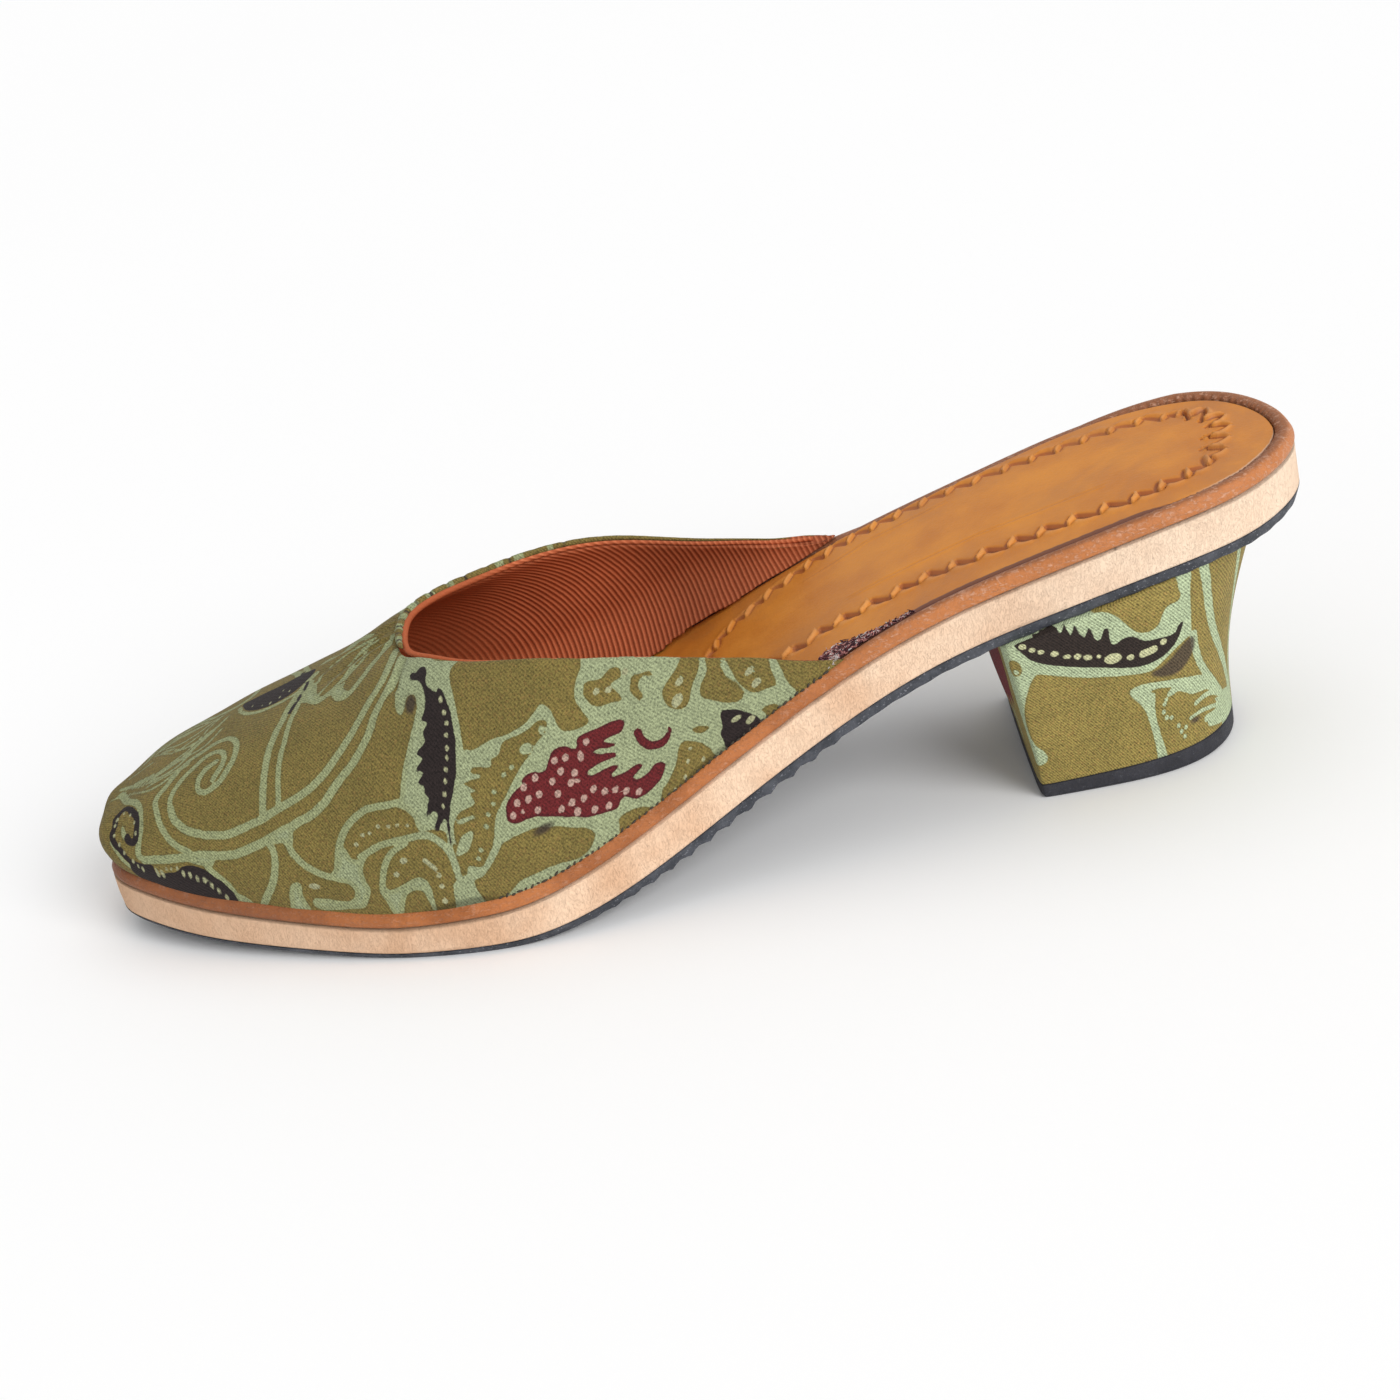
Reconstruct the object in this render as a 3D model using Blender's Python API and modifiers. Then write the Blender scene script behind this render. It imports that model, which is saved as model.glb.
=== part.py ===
"""A right foot's heeled mule: a closed cloth toe with no back, on a foam sole with a cloth-covered block heel.

Run it with: blender --background --python part.py

The toe points to -X, the inner (big toe) side is -Y and +Z is up. The shoe stands on Z = 0.
Stations are millimetres behind the toe end of the sole. The tables and sizes are in millimetres too, and
points turn into metres where a mesh is made.
"""

from collections import namedtuple

import bmesh
import bpy
import numpy as np

MM = 0.001
GAP = 0.3  # clearance left between pieces that touch

# Driving sizes
SOLE_LENGTH = 250.0
TOE_Y = -9.2  # the toe end lies towards the big toe
HEEL_Y = -0.5
RAND_HEIGHT = 3.1
RAND_WIDTH = 3.4
INSOLE_THICKNESS = 2.9
UPPER_WALL = 2.0
UPPER_INSET = 0.9  # from the edge of the sole to the foot of the cloth wall
TOE_BULGE = 3.5  # how far the cloth toe swells out over its own foot
SIDE_BULGE = 0.8
BULGE_HEIGHT = 17.0
TOE_BULGE_LENGTH = 32.0
SHOULDER = 2.5  # 2 would make the upper's cross-sections ellipses, and more makes their shoulders fuller
THROAT = 68.4  # front end of the opening
TAIL = 156.5  # where the opening's edge comes down to the rand
TAIL_HEIGHT = 1.2
HEEL_CORNER = 1.6  # rounding between the breast and the sides
CONTACT = 0.15  # how softly the underside's curve eases onto the ground
EDGE_TRIM = 0.4  # the outsole is cut this far inside the foam
TOE_TRIM = 1.3  # and this much further at the toe
TOE_TRIM_LENGTH = 45.0
SOLE_CHAMFER = 0.5
INSOLE_CHAMFER = 0.8
TOP_PIECE_FRONT = 2.8  # thickness at the breast and at the back
TOP_PIECE_BACK = 4.4

# Where the row's origin is: under the middle of the whole shoe.
ORIGIN = np.array([125.0, -1.63, 0.0])

# How finely the curved pieces are cut
STATIONS = 60  # steps from toe to heel
RIB_STEPS = 13  # steps from the foot of the cloth wall to the opening
HEEL_STEPS = 7
HEEL_ARC_STEPS = 13
BREAST_STEPS = 3

Outline = namedtuple("Outline", "station inner outer")
OUTLINE = [
    Outline(6, 18.0, 17.1),
    Outline(18, 25.8, 27.0),
    Outline(38, 34.5, 35.4),
    Outline(62, 42.5, 40.3),
    Outline(90, 45.3, 42.1),
    Outline(120, 38.8, 36.9),
    Outline(150, 32.7, 31.1),
    Outline(180, 29.2, 28.2),
    Outline(210, 29.6, 30.1),
    Outline(232, 25.3, 28.0),
    Outline(244, 15.1, 19.9),
]

# Underside of the sole with no weight on it: toe spring, ball, arch and the seat over the heel.
Underside = namedtuple("Underside", "station height")
UNDERSIDE = [
    Underside(0, 5.7),
    Underside(20, 3.1),
    Underside(45, 1.1),
    Underside(70, -0.4),
    Underside(95, 1.8),
    Underside(120, 10.5),
    Underside(145, 22.6),
    Underside(170, 33.0),
    Underside(195, 39.8),
    Underside(220, 45.0),
    Underside(250, 47.3),
]

Layers = namedtuple("Layers", "station outsole midsole")
LAYERS = [
    Layers(0, 1.0, 7.2),
    Layers(30, 1.1, 6.0),
    Layers(60, 1.2, 5.4),
    Layers(90, 1.6, 6.8),
    Layers(130, 2.2, 7.2),
    Layers(190, 2.3, 7.7),
    Layers(250, 2.3, 8.2),
]

# Each cross-section of the last is half an ellipse over the sole. Crown is its height over the rand, and
# behind the throat it belongs to the foot inside the opening.
Crown = namedtuple("Crown", "station height")
CROWN = [
    Crown(3, 6.3),
    Crown(7, 11.2),
    Crown(12, 15.4),
    Crown(22, 21.0),
    Crown(31, 25.1),
    Crown(40, 28.7),
    Crown(49, 32.1),
    Crown(58, 35.8),
    Crown(68.4, 40.5),
    Crown(80, 43.2),
    Crown(90, 44.6),
    Crown(100, 44.9),
    Crown(110, 43.4),
    Crown(120, 37.9),
    Crown(131, 29.5),
    Crown(143, 20.5),
    Crown(160, 13.0),
]

# Height of the opening's edge over the rand, on both sides alike.
Collar = namedtuple("Collar", "station height")
COLLAR = [
    Collar(72, 40.5),
    Collar(75, 40.6),
    Collar(80, 40.3),
    Collar(88, 39.4),
    Collar(99, 36.7),
    Collar(107, 33.2),
    Collar(115, 28.5),
    Collar(122, 23.5),
    Collar(129, 18.4),
    Collar(136, 13.5),
    Collar(143, 8.7),
    Collar(150, 3.9),
]

# Heel block from the ground up to the sole. The breast is its front face, which bows forward in the middle.
HeelLevel = namedtuple("HeelLevel", "share breast bow back half_width")
HEEL = [
    HeelLevel(0.0, 188.9, 0.3, 232.2, 24.0),
    HeelLevel(0.2, 188.2, 0.7, 232.2, 24.9),
    HeelLevel(0.45, 187.2, 1.8, 233.4, 26.3),
    HeelLevel(0.7, 186.2, 2.4, 236.0, 28.0),
    HeelLevel(1.0, 184.9, 2.6, 240.4, 30.0),
]

# Half section of the rand: inset from the sole's edge, height over the foam.
RandPoint = namedtuple("RandPoint", "inset height")
RAND = [
    RandPoint(0.4, GAP),
    RandPoint(-0.1, 0.8),
    RandPoint(-0.25, 1.5),
    RandPoint(0.0, 2.3),
    RandPoint(0.5, 2.85),
    RandPoint(0.9, RAND_HEIGHT),
    RandPoint(2.8, RAND_HEIGHT),
    RandPoint(3.2, 2.8),
    RandPoint(RAND_WIDTH, 2.2),
    RandPoint(RAND_WIDTH, GAP),
]

Finish = namedtuple("Finish", "colour roughness")
FINISHES = {
    "outsole": Finish((0.045, 0.052, 0.065), 0.6),
    "midsole": Finish((0.83, 0.55, 0.36), 0.9),
    "rand": Finish((0.33, 0.10, 0.035), 0.45),
    "insole": Finish((0.50, 0.20, 0.04), 0.4),
    "upper": Finish((0.21, 0.19, 0.055), 0.85),
    "heel": Finish((0.21, 0.19, 0.055), 0.8),
    "top_piece": Finish((0.045, 0.052, 0.065), 0.6),
}


# ---- curves through the tables ----


def column(rows, name):
    return np.array([getattr(row, name) for row in rows], float)


def smooth(knots, values, at):
    """Natural cubic curve through the values at the knots, read at one place or at many."""
    knots = np.asarray(knots, float)
    values = np.asarray(values, float)
    step = np.diff(knots)
    slope = np.diff(values) / step
    system = np.eye(len(knots))
    turn = np.zeros(len(knots))
    for i in range(1, len(knots) - 1):
        system[i, i - 1 : i + 2] = step[i - 1], 2 * (step[i - 1] + step[i]), step[i]
        turn[i] = 6 * (slope[i] - slope[i - 1])
    bend = np.linalg.solve(system, turn)
    i = np.clip(np.searchsorted(knots, at) - 1, 0, len(step) - 1)
    t = at - knots[i]
    start = slope[i] - step[i] * (2 * bend[i] + bend[i + 1]) / 6
    return values[i] + t * start + t**2 * bend[i] / 2 + t**3 * (bend[i + 1] - bend[i]) / (6 * step[i])


def underside(station):
    """Height of the sole's underside. It eases onto the ground under the ball and is flat there."""
    height = smooth(column(UNDERSIDE, "station"), column(UNDERSIDE, "height"), station)
    clear = np.maximum(height, 0.0)
    return clear**2 / (clear + CONTACT)


def underside_normal(station):
    """Unit normal (x, z) of the underside's curve."""
    slope = underside(station + 0.5) - underside(station - 0.5)
    length = np.sqrt(1 + slope**2)
    return -slope / length, 1 / length


def outsole_top(station):
    return np.interp(station, column(LAYERS, "station"), column(LAYERS, "outsole"))


def midsole_top(station):
    thickness = smooth(column(LAYERS, "station"), column(LAYERS, "midsole"), station)
    return outsole_top(station) + thickness


def crown(station, tip):
    """Height of the last over the rand. It starts upright at the toe's tip, so its square is what is smoothed."""
    stations = np.concatenate([[tip], column(CROWN, "station")])
    squares = np.concatenate([[0.0], column(CROWN, "height") ** 2])
    return np.sqrt(np.maximum(smooth(stations, squares, station), 0.0))


# ---- the sole's plan and its loops ----


def outline_side(side, steps):
    """Sole's edge on one side at stations from toe to heel, which crowd together at the round ends."""
    stations = column(OUTLINE, "station")
    inner = np.stack([stations, -column(OUTLINE, "inner")], 1)
    outer = np.stack([stations, column(OUTLINE, "outer")], 1)
    toe = np.array([[0.0, TOE_Y]])
    heel = np.array([[SOLE_LENGTH, HEEL_Y]])
    near, far = (inner, outer) if side == "inner" else (outer, inner)
    # The curve runs on past both ends into the other side, so that the ends come out round.
    points = np.concatenate([far[3::-1], toe, near, heel, far[:-5:-1]])
    chords = np.hypot(*np.diff(points, axis=0).T)
    along = np.concatenate([[0.0], np.cumsum(np.sqrt(chords))])
    first, last = along[4], along[-5]
    fine = np.linspace(first, last, 1200)
    x = smooth(along, points[:, 0], fine)
    y = smooth(along, points[:, 1], fine)
    angle = np.arccos(1 - 2 * np.clip(x, 0, SOLE_LENGTH) / SOLE_LENGTH)
    wanted = np.linspace(0, np.pi, steps + 1)
    return np.stack([np.interp(wanted, angle, x), np.interp(wanted, angle, y)], 1)


def outline_loop():
    """The sole's edge as one loop: toe tip, inner side, heel end, outer side."""
    inner = outline_side("inner", STATIONS)
    outer = outline_side("outer", STATIONS)
    return np.concatenate([inner, outer[-2:0:-1]])


def inset_loop(loop, inset):
    """Moves each point of a loop square to the loop, inwards. The inset may differ from point to point."""
    ahead = np.roll(loop, -1, 0) - np.roll(loop, 1, 0)
    ahead = ahead / np.linalg.norm(ahead, axis=1)[:, None]
    inwards = np.stack([-ahead[:, 1], ahead[:, 0]], 1)
    return loop + inwards * np.reshape(inset, (-1, 1))


def lift(plan, height):
    """Raises points of the plan off the sole's underside by a height measured square to it."""
    station = plan[:, 0]
    normal_x, normal_z = underside_normal(station)
    return np.stack(
        [station + normal_x * height, plan[:, 1], underside(station) + normal_z * height], 1
    )


def sole_loop(inset, height):
    """One loop round the sole. The height is a function of the station."""
    plan = inset_loop(outline_loop(), inset)
    return lift(plan, height(plan[:, 0]))


# ---- meshes ----


def bridge(mesh, lower, upper, closed=True):
    """A band of four-sided faces between two rows of corners."""
    count = len(lower)
    for i in range(count if closed else count - 1):
        j = (i + 1) % count
        mesh.faces.new((lower[i], lower[j], upper[j], upper[i]))


def cap(mesh, corners):
    """Closes a loop with strips from side to side, so that the cap bends as the sole does."""
    count = len(corners)
    mesh.faces.new((corners[0], corners[1], corners[-1]))
    for i in range(1, count // 2 - 1):
        mesh.faces.new((corners[i], corners[i + 1], corners[count - i - 1], corners[count - i]))
    middle = count // 2
    mesh.faces.new((corners[middle - 1], corners[middle], corners[middle + 1]))


def add_corners(mesh, points):
    return [mesh.verts.new((point - ORIGIN) * MM) for point in points]


def finish(name, mesh, collection):
    """Turns the bmesh into a named object with its own material."""
    bmesh.ops.recalc_face_normals(mesh, faces=mesh.faces)
    data = bpy.data.meshes.new(name)
    mesh.to_mesh(data)
    mesh.free()
    data.shade_smooth()
    data.set_sharp_from_angle(angle=np.radians(35))
    part = bpy.data.objects.new(name, data)
    material = bpy.data.materials.new(name)
    material.use_nodes = True
    shader = material.node_tree.nodes["Principled BSDF"]
    shader.inputs["Base Color"].default_value = (*FINISHES[name].colour, 1.0)
    shader.inputs["Roughness"].default_value = FINISHES[name].roughness
    data.materials.append(material)
    collection.objects.link(part)
    return part


def pile(name, loops, collection):
    """A solid from a pile of loops, closed below and above."""
    mesh = bmesh.new()
    rows = [add_corners(mesh, loop) for loop in loops]
    for lower, upper in zip(rows, rows[1:]):
        bridge(mesh, lower, upper)
    cap(mesh, rows[0])
    cap(mesh, rows[-1])
    return finish(name, mesh, collection)


# ---- the sole's pieces ----


def toe_bevel(loop):
    """How far the lowest edge is trimmed back: most at the toe, little further back."""
    return EDGE_TRIM + TOE_TRIM * np.clip(1 - loop[:, 0] / TOE_TRIM_LENGTH, 0, 1) ** 1.5


def make_outsole(collection):
    edge = outline_loop()
    trim = toe_bevel(edge)
    loops = [
        sole_loop(trim + SOLE_CHAMFER, lambda s: 0.0 * s),
        sole_loop(trim, lambda s: SOLE_CHAMFER * outsole_top(s)),
        sole_loop(trim - EDGE_TRIM, outsole_top),
    ]
    return pile("outsole", loops, collection)


def make_midsole(collection):
    trim = toe_bevel(outline_loop()) - EDGE_TRIM
    loops = [
        sole_loop(trim, lambda s: outsole_top(s) + GAP),
        sole_loop(0.35 * trim, lambda s: 0.5 * (outsole_top(s) + midsole_top(s))),
        sole_loop(0.0, midsole_top),
    ]
    return pile("midsole", loops, collection)


def make_rand(collection):
    """A rolled leather bead all round the edge, on top of the foam."""
    mesh = bmesh.new()
    rows = [
        add_corners(mesh, sole_loop(point.inset, lambda s, point=point: midsole_top(s) + point.height))
        for point in RAND
    ]
    for lower, upper in zip(rows, rows[1:] + rows[:1]):
        bridge(mesh, lower, upper)
    return finish("rand", mesh, collection)


def make_insole(collection):
    """The tooled leather cover, let in between the walls of the rand."""
    edge = RAND_WIDTH + GAP
    loops = [
        sole_loop(edge, lambda s: midsole_top(s) + GAP),
        sole_loop(edge, lambda s: midsole_top(s) + INSOLE_THICKNESS - INSOLE_CHAMFER),
        sole_loop(edge + INSOLE_CHAMFER, lambda s: midsole_top(s) + INSOLE_THICKNESS),
    ]
    return pile("insole", loops, collection)


# ---- the upper ----


def upper_foot():
    """Loop along which the cloth wall stands on the rand."""
    return sole_loop(UPPER_INSET, lambda s: midsole_top(s) + RAND_HEIGHT + GAP)


class Last:
    """The shape inside the upper: half ellipses across the foot, over the loop where the wall stands."""

    def __init__(self, foot):
        half = len(foot) // 2
        self.inner = foot[: half + 1]
        self.outer = np.concatenate([foot[:1], foot[:half:-1], foot[half : half + 1]])
        self.tip = foot[0, 0]

    def side(self, rows, x, axis):
        # Read along the root of the distance behind the tip, because the sides leave the tip squarely.
        reach = np.sqrt(np.maximum(rows[:, 0] - self.tip, 0))
        return np.interp(np.sqrt(np.maximum(x - self.tip, 0)), reach, rows[:, axis])

    def height(self, x, y):
        """Height over the rand at a place in the plan."""
        inner = self.side(self.inner, x, 1)
        outer = self.side(self.outer, x, 1)
        across = np.abs(2 * y - inner - outer) / np.maximum(outer - inner, 1e-6)
        return crown(x, self.tip) * np.sqrt(np.clip(1 - across**SHOULDER, 0, 1))

    def ground(self, x):
        """Height of the wall's foot at x."""
        return self.side(self.inner, x, 2)

    def reach(self, x, height, side):
        """How far out the last reaches at a height over the rand."""
        inner = self.side(self.inner, x, 1)
        outer = self.side(self.outer, x, 1)
        share = np.clip(1 - (height / crown(x, self.tip)) ** 2, 0, 1) ** (1 / SHOULDER)
        return (inner + outer) / 2 + side * share * (outer - inner) / 2


def collar_point(last, place):
    """Plan point of the opening's edge. Place runs from -1, the inner tail, over 0, the throat, to 1."""
    x = THROAT + (TAIL - THROAT) * place**2
    stations = np.concatenate([[THROAT], column(COLLAR, "station"), [TAIL]])
    heights = np.concatenate([[crown(THROAT, last.tip)], column(COLLAR, "height"), [TAIL_HEIGHT]])
    places = np.sqrt((stations - THROAT) / (TAIL - THROAT))
    height = smooth(places, heights, abs(place))
    return np.array([x, last.reach(x, height, np.sign(place))])


def bulge(height, station, top):
    """How far the wall swells outwards, low down and mostly at the toe. A low wall has no room to swell."""
    low = np.clip(height / BULGE_HEIGHT, 0, 1) ** 0.72
    at_toe = np.clip(1 - station / TOE_BULGE_LENGTH, 0, 1) ** 1.6
    room = np.clip(top / BULGE_HEIGHT, 0, 1)
    return (SIDE_BULGE * room + (TOE_BULGE - SIDE_BULGE) * at_toe) * np.sin(np.pi * low)


def upper_ribs():
    """Rows of points from the wall's foot up to the opening's edge, from the inner tail round to the outer."""
    foot = upper_foot()
    last = Last(foot)
    half = len(foot) // 2
    tail = int(np.argmin(np.abs(last.inner[:, 0] - TAIL)))
    starts = np.concatenate([last.inner[tail:0:-1], last.outer[: tail + 1]])
    out = inset_loop(foot[:, :2], -1.0) - foot[:, :2]
    outwards = np.concatenate([out[tail:0:-1], out[:1], out[: half - 1 : -1][:tail]])
    steps = 1 - np.cos(np.linspace(0, np.pi / 2, RIB_STEPS + 1) ** 1.15 / (np.pi / 2) ** 0.15)
    ribs = []
    for i, (start, away) in enumerate(zip(starts, outwards)):
        place = 2 * i / (len(starts) - 1) - 1
        end = collar_point(last, np.sign(place) * place**2)
        plan = start[:2] + (end - start[:2]) * steps[:, None]
        height = last.height(plan[:, 0], plan[:, 1])
        level = last.ground(plan[:, 0])
        plan = plan + away * bulge(height, plan[:, 0], height[-1])[:, None]
        ribs.append(np.column_stack([plan, level + height]))
    return ribs


def make_upper(collection):
    """The cloth vamp and sides: a sheet over the last, given its wall on the inside."""
    mesh = bmesh.new()
    rows = [add_corners(mesh, rib) for rib in upper_ribs()]
    for rib, following in zip(rows, rows[1:]):
        bridge(mesh, rib, following, closed=False)
    upper = finish("upper", mesh, collection)
    wall = upper.modifiers.new("wall", "SOLIDIFY")
    wall.thickness = UPPER_WALL * MM
    wall.offset = -1.0
    wall.use_even_offset = True
    return upper


# ---- the heel ----


def heel_level(share):
    """Front, its bow, back and half width of the heel at a share of its height."""
    shares = column(HEEL, "share")
    names = ("breast", "bow", "back", "half_width")
    return [smooth(shares, column(HEEL, name), share) for name in names]


def heel_plan(share):
    """D-shaped loop: breast's middle, inner corner, inner side, back, outer side, outer corner."""
    breast, bow, back, half_width = heel_level(share)
    turn = np.linspace(0, np.pi / 2, HEEL_ARC_STEPS + 1)
    side_x = breast + HEEL_CORNER + (back - breast - HEEL_CORNER) * np.sqrt(np.sin(turn))
    side_y = half_width * np.cos(turn)
    front_y = half_width * np.linspace(0, 0.9, BREAST_STEPS + 1)
    front_x = breast - bow * (1 - (front_y / half_width) ** 2)
    x = np.concatenate([front_x, [breast + 0.3 * HEEL_CORNER], side_x])
    y = np.concatenate([front_y, [half_width - 0.3 * HEEL_CORNER], side_y])
    inner = np.stack([x, -y], 1)
    outer = np.stack([x, y], 1)
    return np.concatenate([inner, outer[-2:0:-1]])


def top_piece_top(station):
    return np.interp(station, [HEEL[0].breast, HEEL[0].back], [TOP_PIECE_FRONT, TOP_PIECE_BACK])


def heel_loop(share, floor, ceiling):
    """Loop of the heel between a floor and a ceiling, which are functions of the station."""
    plan = heel_plan(share)
    low = floor(plan[:, 0])
    high = ceiling(plan[:, 0])
    return np.column_stack([plan, low + (high - low) * share])


def make_heel(collection):
    shares = np.linspace(0, 1, HEEL_STEPS + 1)
    loops = [
        heel_loop(share, lambda s: top_piece_top(s) + GAP, lambda s: underside(s) - GAP)
        for share in shares
    ]
    return pile("heel", loops, collection)


def make_top_piece(collection):
    plan = heel_plan(0.0)
    trimmed = inset_loop(plan, SOLE_CHAMFER)
    loops = [
        np.column_stack([trimmed, 0.0 * trimmed[:, 0]]),
        np.column_stack([plan, np.full(len(plan), SOLE_CHAMFER)]),
        np.column_stack([plan, top_piece_top(plan[:, 0])]),
    ]
    return pile("top_piece", loops, collection)


def main():
    for old in list(bpy.data.objects):
        bpy.data.objects.remove(old)
    scene = bpy.context.scene
    scene.unit_settings.system = "METRIC"
    collection = bpy.data.collections.new("heeled_mule")
    scene.collection.children.link(collection)
    make_outsole(collection)
    make_midsole(collection)
    make_rand(collection)
    make_insole(collection)
    make_upper(collection)
    make_heel(collection)
    make_top_piece(collection)


main()
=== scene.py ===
# %% [markdown]
# # A heeled mule in batik cloth
# The packed CAD model gives every size: a closed cloth toe with no back, on a foam sole with a block heel.
# This lesson dresses it. Each CAD solid is copied, made finer and softer, and given its real finish.
# The toe points to -X, the inner side of the foot is -Y and up is +Z. Sizes below are in millimetres.

# %% Load the packed shoe
import math
from collections import namedtuple

import bmesh
import bpy
import numpy as np
from mathutils import Matrix, Vector
from mathutils.kdtree import KDTree


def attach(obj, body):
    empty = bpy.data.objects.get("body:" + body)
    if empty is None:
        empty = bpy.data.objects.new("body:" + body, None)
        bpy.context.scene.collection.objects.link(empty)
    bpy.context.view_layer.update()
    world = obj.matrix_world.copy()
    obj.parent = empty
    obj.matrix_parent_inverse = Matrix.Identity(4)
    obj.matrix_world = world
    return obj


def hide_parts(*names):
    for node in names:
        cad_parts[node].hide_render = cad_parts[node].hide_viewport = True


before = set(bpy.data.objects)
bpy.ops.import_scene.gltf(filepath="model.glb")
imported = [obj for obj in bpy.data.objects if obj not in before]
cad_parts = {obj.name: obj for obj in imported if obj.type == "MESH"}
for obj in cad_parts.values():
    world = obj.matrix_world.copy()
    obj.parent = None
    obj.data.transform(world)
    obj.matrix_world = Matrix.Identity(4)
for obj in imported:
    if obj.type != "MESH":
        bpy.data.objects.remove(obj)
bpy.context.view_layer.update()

MM = 0.001

# %% [markdown]
# ## Camera
# A shoe is best shown from a little above, with a fairly long lens so that it keeps its shape.
# The camera looks at the inner side, with the heel away to the right, and it is rolled a little.
# A camera's axes are the columns of its rotation: right, up, and back towards the viewer.

# %% Place the camera
CAMERA_PLACE = (18.471, -489.987, 262.058)
CAMERA_AZIMUTH = math.radians(2.149)
CAMERA_ELEVATION = math.radians(25.864)
CAMERA_ROLL = math.radians(-11.24)
LENS = 68.96


def camera_axes(azimuth, elevation, roll):
    """Right, up and back of a camera that looks at the shoe from this side."""
    flat = math.cos(elevation)
    back = Vector((math.sin(azimuth) * flat, -math.cos(azimuth) * flat, math.sin(elevation)))
    right = Vector((math.cos(azimuth), math.sin(azimuth), 0.0))
    up = back.cross(right)
    cosine, sine = math.cos(roll), math.sin(roll)
    return right * cosine + up * sine, up * cosine - right * sine, back


lens = bpy.data.cameras.new("camera")
lens.lens = LENS
lens.sensor_width = 36.0
lens.clip_start = 0.01
lens.clip_end = 20.0
camera = bpy.data.objects.new("camera", lens)
bpy.context.scene.collection.objects.link(camera)
axes = camera_axes(CAMERA_AZIMUTH, CAMERA_ELEVATION, CAMERA_ROLL)
camera.matrix_world = Matrix.Translation(Vector(CAMERA_PLACE) * MM) @ Matrix(axes).transposed().to_4x4()
bpy.context.scene.camera = camera
print("camera looks along", [round(-value, 3) for value in axes[2]])

# %% [markdown]
# ## Light
# A light tent: white light from all round, one broad soft lamp over the viewer's shoulder and a weaker one
# from above. The Standard view keeps a rendered colour close to the colour given to the material.

# %% Hang the lights
SKY_STRENGTH = 0.60
Lamp = namedtuple("Lamp", "name place spread power")
LAMPS = [
    Lamp("key", (550, -700, 560), 35, 1.75),
    Lamp("top", (100, 250, 900), 50, 0.40),
]


def hang(lamp):
    """A far lamp that shines from a place towards the shoe, softened over a spread of degrees."""
    light = bpy.data.lights.new(lamp.name, "SUN")
    light.angle = math.radians(lamp.spread)
    light.energy = lamp.power
    holder = bpy.data.objects.new(lamp.name, light)
    bpy.context.scene.collection.objects.link(holder)
    holder.location = Vector(lamp.place) * MM
    holder.rotation_euler = (-Vector(lamp.place)).to_track_quat("-Z", "Y").to_euler()


for lamp in LAMPS:
    hang(lamp)
world = bpy.data.worlds.new("tent")
world.use_nodes = True
world.node_tree.nodes["Background"].inputs["Color"].default_value = (1.0, 1.0, 1.0, 1.0)
world.node_tree.nodes["Background"].inputs["Strength"].default_value = SKY_STRENGTH
bpy.context.scene.world = world
bpy.context.scene.view_settings.view_transform = "Standard"
bpy.context.scene.view_settings.look = "None"
print(len(LAMPS), "lamps hung")

# %% [markdown]
# ## A small language for finishes
# A material is a graph of nodes. Written out link by link it is hard to read, so `Wire` wraps a socket and
# lets Python's own signs add the Math nodes: `1 - mask * 0.5` makes two of them.


# %% Wires
class Wire:
    """A socket that can be reckoned with. Numbers and other wires may stand on either side."""

    def __init__(self, finish, socket):
        self.finish = finish
        self.socket = socket

    def __add__(self, other):
        return self.finish.math("ADD", self, other)

    def __sub__(self, other):
        return self.finish.math("SUBTRACT", self, other)

    def __rsub__(self, other):
        return self.finish.math("SUBTRACT", other, self)

    def __mul__(self, other):
        return self.finish.math("MULTIPLY", self, other)

    def __abs__(self):
        return self.finish.math("ABSOLUTE", self)

    __radd__ = __add__
    __rmul__ = __mul__


print("wires can be added, subtracted and multiplied")

# %% [markdown]
# ## One finish
# `Finish` holds one material. `add` makes any node: its settings first, then the values or wires of its
# sockets. The other methods are the few patterns that leather, rubber, foam and cloth are mixed from.


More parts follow.
